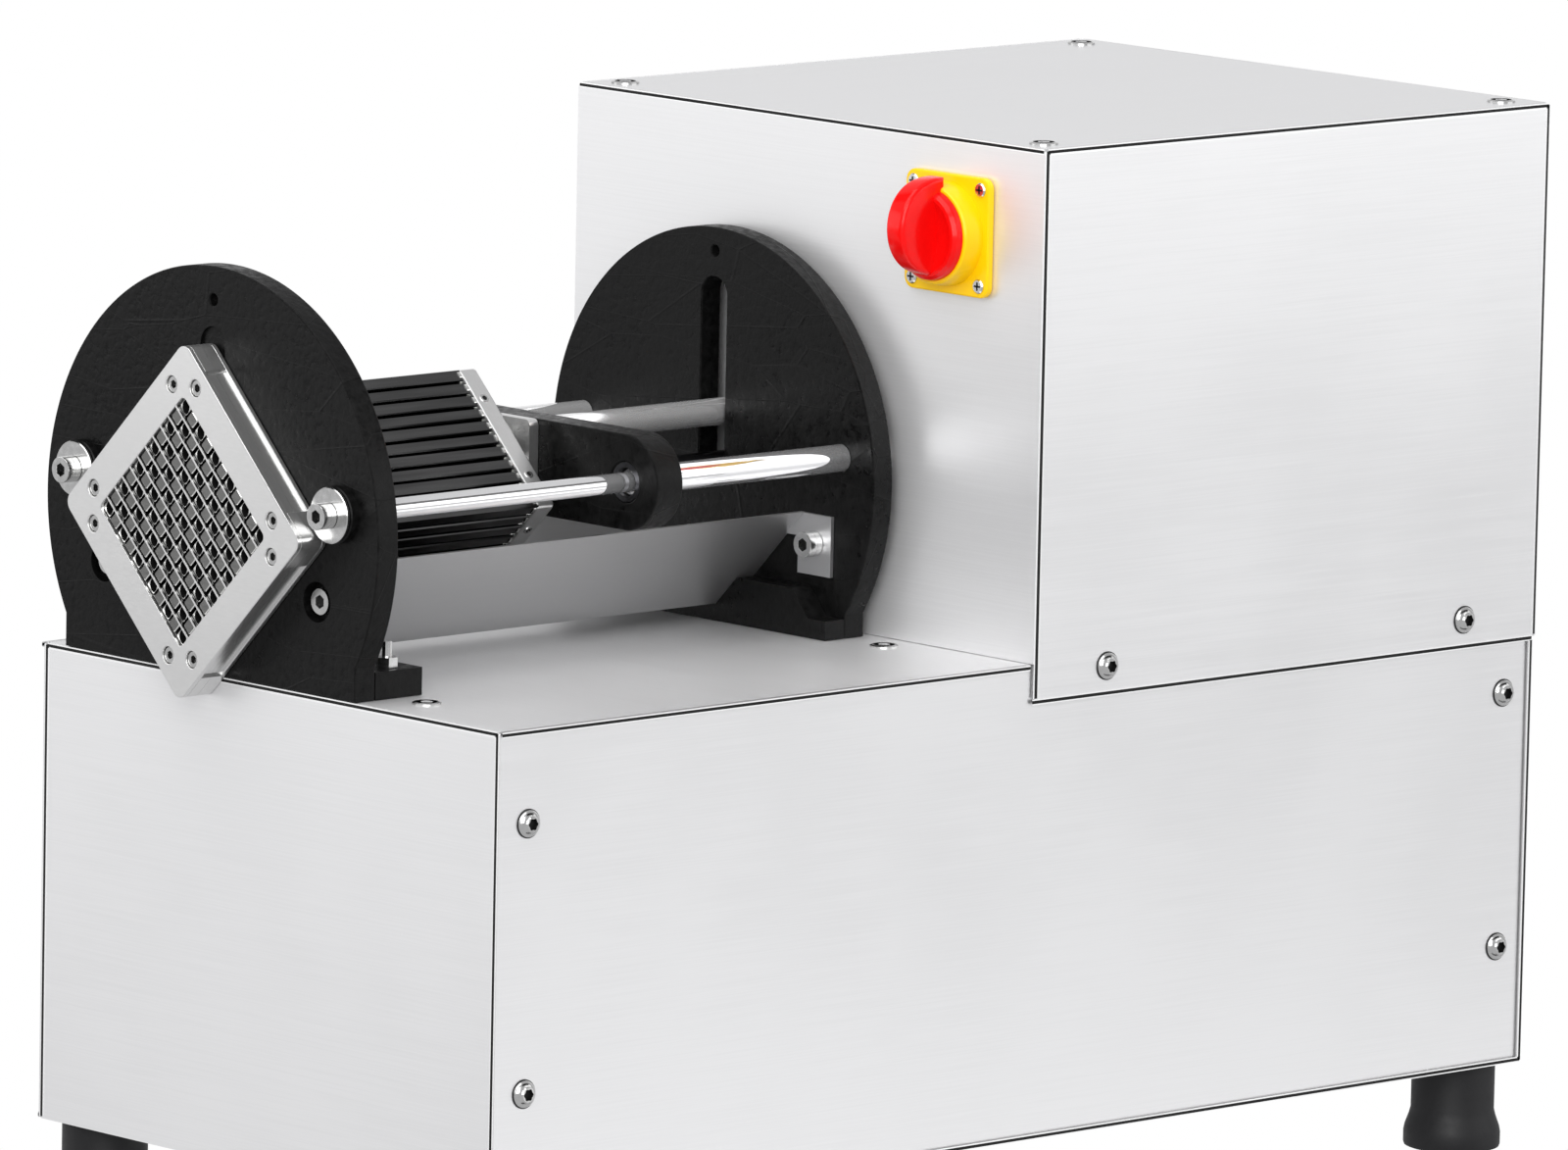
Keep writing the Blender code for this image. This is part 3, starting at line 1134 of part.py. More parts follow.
def gearmotor():
    low = DRIVE_PLATE_TOP + GAP
    top = RAM_Z + GEARBOX_OVER_SHAFT
    half = GEARBOX_HALF_LENGTH
    face = rectangle(-half, low - RAM_Z, half, top - RAM_Z, GEARBOX_CORNER, 4)
    box = plate("gearbox", [face], GEARBOX_DEPTH, "y", (CRANK_X, GEARBOX_MID_Y, RAM_Z), CASTING)
    boss = Group()
    boss.rod(GEARBOX_BOSS_RADIUS, GEARBOX_BOSS * 2, "+y",
             (CRANK_X, GEARBOX_BACK_Y - GEARBOX_BOSS, RAM_Z), 36)
    cut(box, boss.cutter("gearbox_boss"), "UNION")
    bore = Group()
    sink = GEARBOX_DEPTH / 4 + GAP
    bore.rod(SHAFT_RADIUS + GAP, sink + 2 * GEARBOX_BOSS, "+y",
             (CRANK_X, GEARBOX_BACK_Y - sink, RAM_Z), 32)
    cut(box, bore.cutter("gearbox_bore"))

    opening = circle((0, 0), MOTOR_SPIGOT_RADIUS + GAP, 32)
    outline = rectangle(-DRIVE_PLATE_HALF_LENGTH, -DRIVE_PLATE_HALF_DEPTH, DRIVE_PLATE_HALF_LENGTH,
                        DRIVE_PLATE_HALF_DEPTH, DRIVE_PLATE_CORNER)
    plate("drive_plate", [outline, opening], DRIVE_PLATE_THICKNESS, "z",
          (CRANK_X, GEARBOX_MID_Y, DRIVE_PLATE_BOTTOM + DRIVE_PLATE_THICKNESS / 2), ZINC)

    head = DRIVE_PLATE_THICKNESS
    motor = Group()
    profile = [(0, head), (MOTOR_SPIGOT_RADIUS, head), (MOTOR_SPIGOT_RADIUS, -GAP),
               (MOTOR_FLANGE_RADIUS, -GAP), (MOTOR_FLANGE_RADIUS, -MOTOR_FLANGE),
               (MOTOR_RADIUS, -MOTOR_FLANGE), (MOTOR_RADIUS, -MOTOR_FLANGE - MOTOR_LENGTH),
               (0, -MOTOR_FLANGE - MOTOR_LENGTH)]
    motor.turned(profile, "+z", (0, 0, 0), 28)
    body = motor.piece("motor", CASTING, (CRANK_X, GEARBOX_MID_Y, DRIVE_PLATE_BOTTOM))
    cover = Group()
    fan_top = DRIVE_PLATE_BOTTOM - MOTOR_FLANGE - MOTOR_LENGTH - GAP
    rim = FAN_COVER_LENGTH / 4
    cover.turned([(0, 0), (MOTOR_RADIUS, 0), (MOTOR_RADIUS, rim - FAN_COVER_LENGTH),
                  (MOTOR_RADIUS - rim, -FAN_COVER_LENGTH), (0, -FAN_COVER_LENGTH)], "+z",
                 (CRANK_X, GEARBOX_MID_Y, fan_top), 28)
    cover.piece("motor_fan_cover", DARK_STEEL)
    terminal = Group()
    deep, wide, tall = TERMINAL_BOX
    box_mid = fan_top + MOTOR_LENGTH / 2
    terminal.block((deep, wide, tall), (CRANK_X - MOTOR_RADIUS - deep / 4, GEARBOX_MID_Y, box_mid))
    cut(body, terminal.cutter("terminal_box"), "UNION")


# Switch

def switch():
    seat = HOUSING_LEFT - GAP
    half = SWITCH_PLATE / 2
    neck = circle((0, 0), SWITCH_NECK_RADIUS + GAP, 20)
    outline = rectangle(-half, -half, half, half, SWITCH_PLATE_CORNER, 4)
    front = seat - SWITCH_PLATE_THICKNESS
    base = plate("switch_plate", [outline, neck], SWITCH_PLATE_THICKNESS, "x",
                 (seat - SWITCH_PLATE_THICKNESS / 2, SWITCH_Y, SWITCH_Z), YELLOW)
    hub = Group()
    hub.tube(SWITCH_HUB_RADIUS, SWITCH_NECK_RADIUS + GAP, SWITCH_HUB + SWITCH_PLATE_THICKNESS / 2,
             "-x", (front + SWITCH_PLATE_THICKNESS / 2, SWITCH_Y, SWITCH_Z), 28)
    cut(base, hub.cutter("switch_hub"), "UNION")

    screws = Group()
    for su in (-1, 1):
        for sv in (-1, 1):
            place = (front + SWITCH_SCREW_HEAD / 2, SWITCH_Y + su * SWITCH_SCREW_SPREAD,
                     SWITCH_Z + sv * SWITCH_SCREW_SPREAD)
            screws.rod(SWITCH_SCREW_RADIUS, SWITCH_SCREW_HEAD * 1.5, "-x", place, 10)
    cut(base, screws.cutter("switch_screws"), "UNION")

    body = Group()
    inside = PANEL_INSIDE + GAP
    tip = front - SWITCH_HUB
    spindle = KNOB_SPINDLE_RADIUS + GAP
    body.tube(SWITCH_NECK_RADIUS, spindle, inside - tip + SWITCH_BODY_DEPTH / 4, "+x",
              (tip, SWITCH_Y, SWITCH_Z), 20)
    neck_tool = body.cutter("switch_neck")
    block = Group()
    block.block((SWITCH_BODY_DEPTH, SWITCH_BODY, SWITCH_BODY), (0, 0, 0))
    piece = block.piece("switch_body", BLACK_BOARD,
                        (inside + SWITCH_BODY_DEPTH / 2, SWITCH_Y, SWITCH_Z))
    cut(piece, neck_tool, "UNION")
    switch_knob(tip - GAP)


def switch_knob(seat):
    """A round knob with a crescent grip, longer at the end that points to the setting."""
    base = Group()
    profile = [(0, -KNOB_SPINDLE), (KNOB_SPINDLE_RADIUS, -KNOB_SPINDLE), (KNOB_SPINDLE_RADIUS, 0),
               (KNOB_RADIUS, 0), (KNOB_RADIUS, KNOB_BASE / 2), (KNOB_TOP_RADIUS, KNOB_BASE - KNOB_EDGE),
               (KNOB_TOP_RADIUS - KNOB_EDGE, KNOB_BASE), (0, KNOB_BASE)]
    base.turned(profile, "-x", (0, 0, 0), 24)
    knob = base.piece("switch_knob", RED, (seat, SWITCH_Y, SWITCH_Z))
    grip = Group()
    middle = (KNOB_POINTER - KNOB_TOP_RADIUS) / 2
    reach = (KNOB_POINTER + KNOB_TOP_RADIUS) / 2
    outline = []
    for step in range(0, 181, 12):
        angle = math.radians(step)
        rise = KNOB_GRIP * max(0, math.sin(angle)) ** KNOB_GRIP_FULLNESS
        outline.append((-KNOB_GRIP_BACK - rise, middle + reach * math.cos(angle)))
    grip.add(plate_mesh([outline], KNOB_GRIP_WIDTH, "y"))
    tool = grip.cutter("knob_grip")
    tool.location = knob.location
    cut(knob, tool, "UNION")


def cable_gland():
    """The supply cable's gland points down through the floor."""
    group = Group()
    profile = [(0, -GLAND_LENGTH / 2), (GLAND_RADIUS, -GLAND_LENGTH / 2), (GLAND_RADIUS, 0),
               (GLAND_NUT_RADIUS, 0), (GLAND_NUT_RADIUS, GLAND_NUT), (GLAND_RADIUS, GLAND_LENGTH),
               (GLAND_RADIUS / 2, GLAND_LENGTH), (GLAND_RADIUS / 2, GLAND_NUT), (0, GLAND_NUT)]
    group.turned(profile, "-z", (0, 0, 0), 16)
    group.piece("cable_gland", BLACK_BOARD, (GLAND_X, GLAND_Y, BOTTOM))


def build():
    base_cabinet()
    feet()
    front_screws()
    housing()
    end_discs()
    foot_bars()
    tie_rods()
    trough()
    blade_frame()
    pusher()
    carriage()
    ram_rods()
    crosshead()
    connecting_rod()
    crank()
    gearmotor()
    switch()
    cable_gland()


build()
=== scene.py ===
"""Studio view of the motorised french fry cutting machine.

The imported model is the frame. Pieces with a coarse outline are made again here, finer, from
the frame's own boxes, and ride on the same bodies; the rest keep their shape and get a
detailed finish. X runs from the blade grid to the housing, Y from front to back, Z up.
"""
import math

import bmesh
import bpy
from mathutils import Matrix, Vector


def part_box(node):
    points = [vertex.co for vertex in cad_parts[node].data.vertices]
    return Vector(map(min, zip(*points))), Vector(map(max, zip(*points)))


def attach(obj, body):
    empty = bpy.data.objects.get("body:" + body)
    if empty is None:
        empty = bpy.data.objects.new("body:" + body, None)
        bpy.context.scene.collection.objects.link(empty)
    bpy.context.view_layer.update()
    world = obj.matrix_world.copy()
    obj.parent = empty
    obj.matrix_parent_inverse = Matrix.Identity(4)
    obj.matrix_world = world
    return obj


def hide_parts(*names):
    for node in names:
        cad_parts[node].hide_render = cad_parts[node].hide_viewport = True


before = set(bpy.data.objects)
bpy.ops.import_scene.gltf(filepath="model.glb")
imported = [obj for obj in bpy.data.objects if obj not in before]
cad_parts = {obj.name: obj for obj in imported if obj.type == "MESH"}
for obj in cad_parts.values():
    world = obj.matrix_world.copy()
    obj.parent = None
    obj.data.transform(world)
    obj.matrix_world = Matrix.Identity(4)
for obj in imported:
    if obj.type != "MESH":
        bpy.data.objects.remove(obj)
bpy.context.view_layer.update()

ROOT, CARRIAGE, KNOB = "cabinet", "carriage", "switch_knob"
TURN = 2 * math.pi
POINTING = {
    "+x": Matrix.Rotation(math.pi / 2, 4, "Y"),
    "-x": Matrix.Rotation(-math.pi / 2, 4, "Y"),
    "-y": Matrix.Rotation(math.pi / 2, 4, "X"),
    "+z": Matrix.Identity(4),
}
FACING = {
    "x": Matrix(((0, 0, 1, 0), (1, 0, 0, 0), (0, 1, 0, 0), (0, 0, 0, 1))),
    "y": Matrix(((1, 0, 0, 0), (0, 0, -1, 0), (0, 1, 0, 0), (0, 0, 0, 1))),
}


# Finishes

class Shading:
    """One material: its Principled shader and the procedural textures that feed it."""

    def __init__(self, name):
        self.material = bpy.data.materials.new(name)
        self.material.use_nodes = True
        self.tree = self.material.node_tree
        self.shader = self.tree.nodes["Principled BSDF"]
        self.place = self.tree.nodes.new("ShaderNodeTexCoord").outputs["Object"]

    def mapped(self, scale, turn=(0, 0, 0)):
        node = self.tree.nodes.new("ShaderNodeMapping")
        node.inputs["Scale"].default_value = scale
        node.inputs["Rotation"].default_value = turn
        self.tree.links.new(self.place, node.inputs["Vector"])
        return node.outputs["Vector"]

    def noise(self, scale, detail, stretch=(1, 1, 1)):
        node = self.tree.nodes.new("ShaderNodeTexNoise")
        node.inputs["Scale"].default_value = scale
        node.inputs["Detail"].default_value = detail
        self.tree.links.new(self.mapped(stretch), node.inputs["Vector"])
        return node.outputs["Fac"]

    def span(self, source, low, high, low_in=0.3, high_in=0.7):
        node = self.tree.nodes.new("ShaderNodeMapRange")
        node.inputs["From Min"].default_value = low_in
        node.inputs["From Max"].default_value = high_in
        node.inputs["To Min"].default_value = low
        node.inputs["To Max"].default_value = high
        self.tree.links.new(source, node.inputs["Value"])
        return node.outputs["Result"]

    def add(self, first, second):
        node = self.tree.nodes.new("ShaderNodeMath")
        node.operation = "ADD"
        self.tree.links.new(first, node.inputs[0])
        self.tree.links.new(second, node.inputs[1])
        return node.outputs["Value"]

    def tint(self, colour, share, amount):
        """Lets the colour go darker and lighter by a share of itself."""
        node = self.tree.nodes.new("ShaderNodeMix")
        node.data_type = "RGBA"
        dark = [channel * (1 - share) for channel in colour]
        light = [min(1.0, channel * (1 + share)) for channel in colour]
        node.inputs["A"].default_value = (*dark, 1.0)
        node.inputs["B"].default_value = (*light, 1.0)
        self.tree.links.new(amount, node.inputs["Factor"])
        self.tree.links.new(node.outputs["Result"], self.shader.inputs["Base Color"])

    def scratched(self, strength):
        """Thin crossing lines of wear."""
        node = self.tree.nodes.new("ShaderNodeTexVoronoi")
        node.feature = "DISTANCE_TO_EDGE"
        node.inputs["Scale"].default_value = 26.0
        warp = self.mapped((1.0, 0.35, 1.6), (0.7, 0.3, 0.4))
        self.tree.links.new(warp, node.inputs["Vector"])
        return self.span(node.outputs["Distance"], strength, 0.0, 0.0, 0.012)

    def relief(self, height, strength):
        node = self.tree.nodes.new("ShaderNodeBump")
        node.inputs["Strength"].default_value = strength
        node.inputs["Distance"].default_value = 0.0004
        self.tree.links.new(height, node.inputs["Height"])
        self.tree.links.new(node.outputs["Normal"], self.shader.inputs["Normal"])


def finish(name, colour, roughness, metallic, grain=(1, 1, 1), fine=260.0, bump=0.0, blotch=0.0,
           spread=0.06, scratches=0.0, coat=0.0, specular=0.5):
    """A Principled finish with grain stretched along an axis, soft blotches and fine scratches."""
    shading = Shading(name)
    inputs = shading.shader.inputs
    inputs["Base Color"].default_value = (*colour, 1.0)
    inputs["Roughness"].default_value = roughness
    inputs["Metallic"].default_value = metallic
    inputs["Coat Weight"].default_value = coat
    inputs["Specular IOR Level"].default_value = specular
    grit = shading.noise(fine, 4.0, grain)
    cloud = shading.noise(7.0, 3.0)
    rough = shading.add(shading.span(grit, roughness - spread / 2, roughness + spread / 2),
                        shading.span(cloud, -spread / 3, spread / 3))
    shading.tree.links.new(rough, inputs["Roughness"])
    if blotch:
        mottle = shading.add(shading.span(grit, -0.25, 0.25), cloud)
        shading.tint(colour, blotch, shading.span(mottle, 0.0, 1.0))
    height = grit
    if scratches:
        height = shading.add(shading.span(grit, 0.0, 1.0), shading.scratched(scratches))
    if bump:
        shading.relief(height, bump)
    return shading.material


# Grain of the sheets, the drawn rods, the milled faces and the pins' ends
ALONG_X, ALONG_Y = (0.010, 1.0, 1.0), (1.0, 0.010, 1.0)
DRAWN, MILLED, SAWN = (0.05, 1, 1), (1, 0.2, 1), (1, 0.3, 1)
SHEET_FINE, MILLED_FINE, SAWN_FINE = 1300.0, 900.0, 700.0
STEEL = (0.83, 0.83, 0.835)

BRUSHED_X = finish("brushed_along_x", STEEL, 0.33, 0.88, ALONG_X, SHEET_FINE,
                   bump=0.05, blotch=0.015, spread=0.05)
BRUSHED_Y = finish("brushed_along_y", STEEL, 0.42, 0.66, ALONG_Y, SHEET_FINE,
                   bump=0.05, blotch=0.015, spread=0.05)
TROUGH = finish("trough_grey", (0.56, 0.56, 0.565), 0.36, 0.9, ALONG_X, SHEET_FINE,
                bump=0.05, blotch=0.015, spread=0.05)
MACHINED = finish("machined_bright", (0.76, 0.76, 0.755), 0.32, 0.95, MILLED, MILLED_FINE,
                  bump=0.015, blotch=0.015, spread=0.05)
CHROME = finish("polished_chrome", (0.88, 0.88, 0.89), 0.05, 0.86, DRAWN, bump=0.01, spread=0.03)
# Painted highlight: the bright lines beside the seams' painted shade.
SEAM_HIGHLIGHT = finish("painted_seam_highlight", (0.93, 0.93, 0.93), 0.25, 0.35, bump=0.01, spread=0.03)
SCREW = finish("plated_screw", (0.64, 0.64, 0.635), 0.17, 1.0, bump=0.02, blotch=0.05)
SATIN = finish("satin_rod", (0.90, 0.90, 0.90), 0.11, 0.74, DRAWN, bump=0.01, spread=0.03)
PIN = finish("dark_pin", (0.10, 0.10, 0.10), 0.17, 1.0, DRAWN, bump=0.05, blotch=0.20, spread=0.10)
# Painted highlight on the pins' rims, chamfers and collars.
PIN_HIGHLIGHT = finish("pin_painted_highlight", (0.90, 0.90, 0.88), 0.18, 1.0, bump=0.02, blotch=0.03)
PIN_END = finish("pin_end", (0.20, 0.20, 0.195), 0.42, 1.0, SAWN, SAWN_FINE,
                 bump=0.06, blotch=0.10, spread=0.10)
BLADE = finish("blade_grey", (0.16, 0.16, 0.16), 0.30, 1.0, bump=0.02, blotch=0.05)
# Painted shade: the black put in screw sockets and recesses, pin bores, seam gaps and rings around
# screw heads; the black cards reuse it.
PAINTED_SHADE_BLACK = finish("painted_shade_black", (0.012, 0.012, 0.012), 0.50, 0.3,
                bump=0.05, blotch=0.1, spread=0.1, specular=0.2)
DARK = finish("dark_steel", (0.07, 0.07, 0.075), 0.32, 1.0, DRAWN, bump=0.05, blotch=0.1, spread=0.1)
BOARD = finish("black_board", (0.0045, 0.0045, 0.0045), 0.40, 0.0,
               bump=0.30, blotch=0.40, spread=0.30, scratches=0.9, specular=0.13)
RUBBER = finish("black_rubber", (0.010, 0.010, 0.011), 0.50, 0.0,
                bump=0.12, blotch=0.1, spread=0.1, specular=0.3)
CASTING = finish("painted_casting", (0.16, 0.19, 0.22), 0.45, 0.0, bump=0.25, blotch=0.06, spread=0.1)
YELLOW = finish("yellow_gloss", (0.93, 0.57, 0.001), 0.32, 0.0,
                bump=0.02, blotch=0.01, spread=0.05, coat=0.05, specular=0.25)
RED = finish("red_gloss", (0.80, 0.003, 0.003), 0.20, 0.0,
             bump=0.01, blotch=0.02, spread=0.04, coat=0.05, specular=0.2)


# Shape helpers

def smooth(mesh):
    """Shades a mesh smooth, with its edges over 20 degrees kept sharp."""
    mesh.shade_smooth()
    mesh.set_sharp_from_angle(angle=math.radians(20))


def plate_mesh(outlines, thickness, facing, soft=0.0):
    """A flat plate centred on its thickness; inner outlines are holes, soft rounds the rims."""
    curve = bpy.data.curves.new("outline", "CURVE")
    curve.dimensions = "2D"
    curve.fill_mode = "BOTH"
    curve.extrude = thickness / 2 - soft
    curve.bevel_depth = soft
    curve.offset = -soft
    wide_rim = 0.002
    curve.bevel_resolution = 1 if soft < wide_rim else 4
    for index, outline in enumerate(outlines):
        points = outline if index == 0 else outline[::-1]
        spline = curve.splines.new("POLY")
        spline.points.add(len(points) - 1)
        for point, (u, v) in zip(spline.points, points):
            point.co = (u, v, 0, 1)
        spline.use_cyclic_u = True
    sketch = bpy.data.objects.new("outline", curve)
    bpy.context.scene.collection.objects.link(sketch)
    ready = sketch.evaluated_get(bpy.context.evaluated_depsgraph_get())
    mesh = bpy.data.meshes.new_from_object(ready)
    bpy.data.objects.remove(sketch, do_unlink=True)
    work = bmesh.new()
    work.from_mesh(mesh)
    bmesh.ops.remove_doubles(work, verts=work.verts, dist=1e-6)
    bmesh.ops.recalc_face_normals(work, faces=work.faces)
    work.to_mesh(mesh)
    work.free()
    mesh.transform(FACING[facing])
    return mesh


class Solid:
    """Turned shapes, plates and blocks gathered into one mesh, each with a material index."""

    def __init__(self):
        self.work = bmesh.new()

    def turned(self, profile, pointing, place, steps=48, look=0, after=Matrix.Identity(4)):
        """Spins a profile of radius and height pairs around the axis that it points along."""
        verts = [self.work.verts.new((radius, 0, height)) for radius, height in profile]
        edges = [self.work.edges.new(pair) for pair in zip(verts, verts[1:])]
        bmesh.ops.spin(self.work, geom=verts + edges, cent=(0, 0, 0), axis=(0, 0, 1),
                       angle=TURN, steps=steps, use_merge=True)
        fresh = [vert for vert in self.work.verts if not vert.tag]
        bmesh.ops.remove_doubles(self.work, verts=fresh, dist=1e-7)
        self.settle(after @ Matrix.Translation(place) @ POINTING[pointing], look)

    def plate(self, outlines, thickness, facing, place, soft=0.0, look=0):
        self.add(plate_mesh(outlines, thickness, facing, soft), place, look)

    def add(self, mesh, place=(0, 0, 0), look=0):
        self.work.from_mesh(mesh)
        bpy.data.meshes.remove(mesh)
        self.settle(Matrix.Translation(place), look)

    def block(self, size, place, look=0):
        bmesh.ops.create_cube(self.work, size=1.0, matrix=Matrix.Diagonal((*size, 1.0)))
        self.settle(Matrix.Translation(place), look)

    def settle(self, matrix, look):
        """Moves what was added last to its place and gives it its look."""
        fresh = [vert for vert in self.work.verts if not vert.tag]
        bmesh.ops.transform(self.work, matrix=matrix, verts=fresh)
        for vert in fresh:
            vert.tag = True
            for face in vert.link_faces:
                face.material_index = look

    def mesh(self, name):
        bmesh.ops.recalc_face_normals(self.work, faces=self.work.faces)
        made = bpy.data.meshes.new(name)
        self.work.to_mesh(made)
        self.work.free()
        smooth(made)
        return made

    def piece(self, name, looks, body, slot, nodes=(), place=(0, 0, 0)):
        return show(name, self.mesh(name), looks, body, nodes, place)


def show(name, mesh, looks, body, nodes=(), place=(0, 0, 0)):
    """Links a piece, gives it its finishes and body, and hides the nodes that it stands for."""
    shared = bool(mesh.materials)
    if not shared:
        for look in looks:
            mesh.materials.append(look)
    piece = bpy.data.objects.new(name, mesh)
    piece.location = place
    bpy.context.scene.collection.objects.link(piece)
    bpy.context.view_layer.update()
    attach(piece, body)
    if nodes:
        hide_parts(*nodes)
    return piece


def cut(piece, cutter_mesh, place=(0, 0, 0)):
    """Cuts a mesh out of a piece for good."""
    tool = bpy.data.objects.new("cutter", cutter_mesh)
    tool.location = place
    bpy.context.scene.collection.objects.link(tool)
    change = piece.modifiers.new("cut", "BOOLEAN")
    change.object = tool
    change.solver = "EXACT"
    ready = piece.evaluated_get(bpy.context.evaluated_depsgraph_get())
    old = piece.data
    fresh = bpy.data.meshes.new_from_object(ready)
    piece.modifiers.clear()
    piece.data = fresh
    bpy.data.meshes.remove(old)
    bpy.data.objects.remove(tool, do_unlink=True)
    smooth(piece.data)


def arc(centre, radius, start, end, steps):
    points = []
    for index in range(steps + 1):
        angle = math.radians(start + (end - start) * index / steps)
        points.append((centre[0] + radius * math.cos(angle), centre[1] + radius * math.sin(angle)))
    return points


def circle(centre, radius, steps=48):
    return arc(centre, radius, 0, 360 - 360 / steps, steps - 1)


def flat_square(side, corner, steps):
    """A square about the origin with round corners."""
    reach = side / 2 - corner
    points = []
    for quarter, (su, sv) in enumerate(((1, 1), (-1, 1), (-1, -1), (1, -1))):
        start = 90 * quarter
        points += arc((su * reach, sv * reach), corner, start, start + 90, steps)
    return points


def stand(point):
    """Turns a point of a flat square an eighth turn, so that the square stands on a corner."""
    half = math.sqrt(0.5)
    return ((point[0] - point[1]) * half, (point[0] + point[1]) * half)


def hexagon(radius):
    return arc((0, 0), radius, 30, 330, 5)


def lobes(radius, depth=0.16, steps=48):
    """The outline of a six-lobed screw recess."""
    points = []
    for index in range(steps):
        angle = TURN * index / steps
        reach = radius * (1 - depth / 2 + depth / 2 * math.cos(6 * angle))
        points.append((reach * math.cos(angle), reach * math.sin(angle)))
    return points


# Sizes read from the frame, in metres

def span_of(node):
    low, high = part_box(node)
    return Vector(low), Vector(high)


def middle(node):
    low, high = span_of(node)
    return (low + high) / 2


FRONT_HIGH = span_of("front_disc")[1]
REAR_LOW, REAR_HIGH = span_of("rear_disc")
PUSHER_LOW, PUSHER_HIGH = span_of("pusher_plate")
RING_FACE = span_of("blade_ring_front")[0].x
AXIS = middle("blade_ring_rear")
DISC_THICKNESS = REAR_HIGH.x - REAR_LOW.x
FRONT_FACE = FRONT_HIGH.x - DISC_THICKNESS

# Sizes shared with the solids
GAP = 0.0003
AXIS_RISE = 0.077
FRONT_DISC_RADIUS = 0.1245
FRONT_FOOT_HALF = 0.109
REAR_DISC_RADIUS = 0.120
REAR_FOOT_HALF = 0.101
SLOT_HALF = 0.00925
SLOT_TOP = 0.095
APERTURE = 0.088
APERTURE_CORNER = 0.003
RING_SIDE = 0.126
RING_CORNER = 0.006
RING_THICKNESS = 0.009
RING_SCREW_FROM_CORNER = 0.022
PITCH = 0.008
CELLS = 11
ROD_SPREAD = 0.096
ROD_RISE = 0.014
TROUGH_SCREW = (0.080, -0.031)
LOCATING_HOLE_RISE = 0.108

# Sizes of the fine pieces
DISC_EDGE = 0.0007
CAP_HEAD, CAP_SOCKET = 0.0065, 0.0034
RING_HEAD, RING_SOCKET = 0.0040, 0.0021
BUTTON_RADIUS, BUTTON_HEIGHT, BUTTON_RECESS = 0.0068, 0.0036, 0.0031


def mirrored(u, v, radius):
    return [circle((side * u, v), radius, 32) for side in (-1, 1)]


def disc_outline(radius, foot_half):
    """A round board that goes over into a straight foot on the deck."""
    meet = math.degrees(math.acos(foot_half / radius))
    points = arc((0, 0), radius, -meet, 180 + meet, 200)
    foot = GAP - AXIS_RISE
    return points + [(-foot_half, foot), (foot_half, foot)]


def stadium(low, high, half):
    """An upright slot with round ends."""
    return arc((0, high), half, 0, 180, 24) + arc((0, low), half, 180, 360, 24)


def square(side, corner):
    """A square with round corners that stands on one of them, as the blade frame does."""
    return [stand(point) for point in flat_square(side, corner, 8)]


def ring_screw_places():
    mid = (RING_SIDE + APERTURE) / 4
    along = RING_SIDE / 2 - RING_SCREW_FROM_CORNER
    flat = [(su * a, sv * b) for a, b in ((mid, along), (along, mid))
            for su in (-1, 1) for sv in (-1, 1)]
    return [stand(point) for point in flat]


# End discs

def disc_holes():
    screw_hole, locating_hole = 0.0043, 0.003
    holes = mirrored(*TROUGH_SCREW, screw_hole)
    return holes + [circle((0, LOCATING_HOLE_RISE), locating_hole, 24)]


def front_pockets():
    """The slot above the blade ring and the counterbores of the trough's screws, to cut out."""
    slot_width, counterbore, depth = 0.003, 0.010, 0.006
    tools = Solid()
    low = (RING_SIDE + APERTURE) / 2 * math.sqrt(0.5)
    tools.plate([stadium(low, SLOT_TOP - SLOT_HALF, SLOT_HALF)], slot_width, "x",
                (FRONT_FACE, AXIS.y, AXIS.z))
    u, v = TROUGH_SCREW
    for side in (-1, 1):
        tools.turned([(0, 0), (counterbore, 0), (counterbore, 2 * depth), (0, 2 * depth)], "+x",
                     (FRONT_FACE - depth, AXIS.y + side * u, AXIS.z + v))
    return tools.mesh("pockets")


def front_disc():
    """The board with the square window and a boss around each tie rod."""
    outlines = [disc_outline(FRONT_DISC_RADIUS, FRONT_FOOT_HALF), square(APERTURE, APERTURE_CORNER)]
    disc = Solid()
    mid = FRONT_FACE + DISC_THICKNESS / 2
    disc.plate(outlines + disc_holes(), DISC_THICKNESS, "x", (mid, AXIS.y, AXIS.z), DISC_EDGE)
    bore, outer, height, chamfer = 0.0053, 0.0142, 0.005, 0.0006
    boss = [(bore, -GAP), (outer, -GAP), (outer, height - chamfer), (outer - chamfer, height),
            (bore, height)]
    for side in (-1, 1):
        place = (FRONT_FACE + GAP, AXIS.y + side * ROD_SPREAD, AXIS.z + ROD_RISE)
        disc.turned(boss, "-x", place, 64)
    piece = disc.piece("front_disc_board", [BOARD], ROOT, "black_polyethylene", ["front_disc"])
    cut(piece, front_pockets())


def rear_disc():
    """The board with the upright slot for the rams."""
    outlines = [disc_outline(REAR_DISC_RADIUS, REAR_FOOT_HALF),
                stadium(0, SLOT_TOP - SLOT_HALF, SLOT_HALF)]
    disc = Solid()
    mid = (REAR_LOW.x + REAR_HIGH.x) / 2
    disc.plate(outlines + disc_holes(), DISC_THICKNESS, "x", (mid, AXIS.y, AXIS.z), DISC_EDGE)
    disc.piece("rear_disc_board", [BOARD], ROOT, "black_polyethylene", ["rear_disc"])


# Blade frame

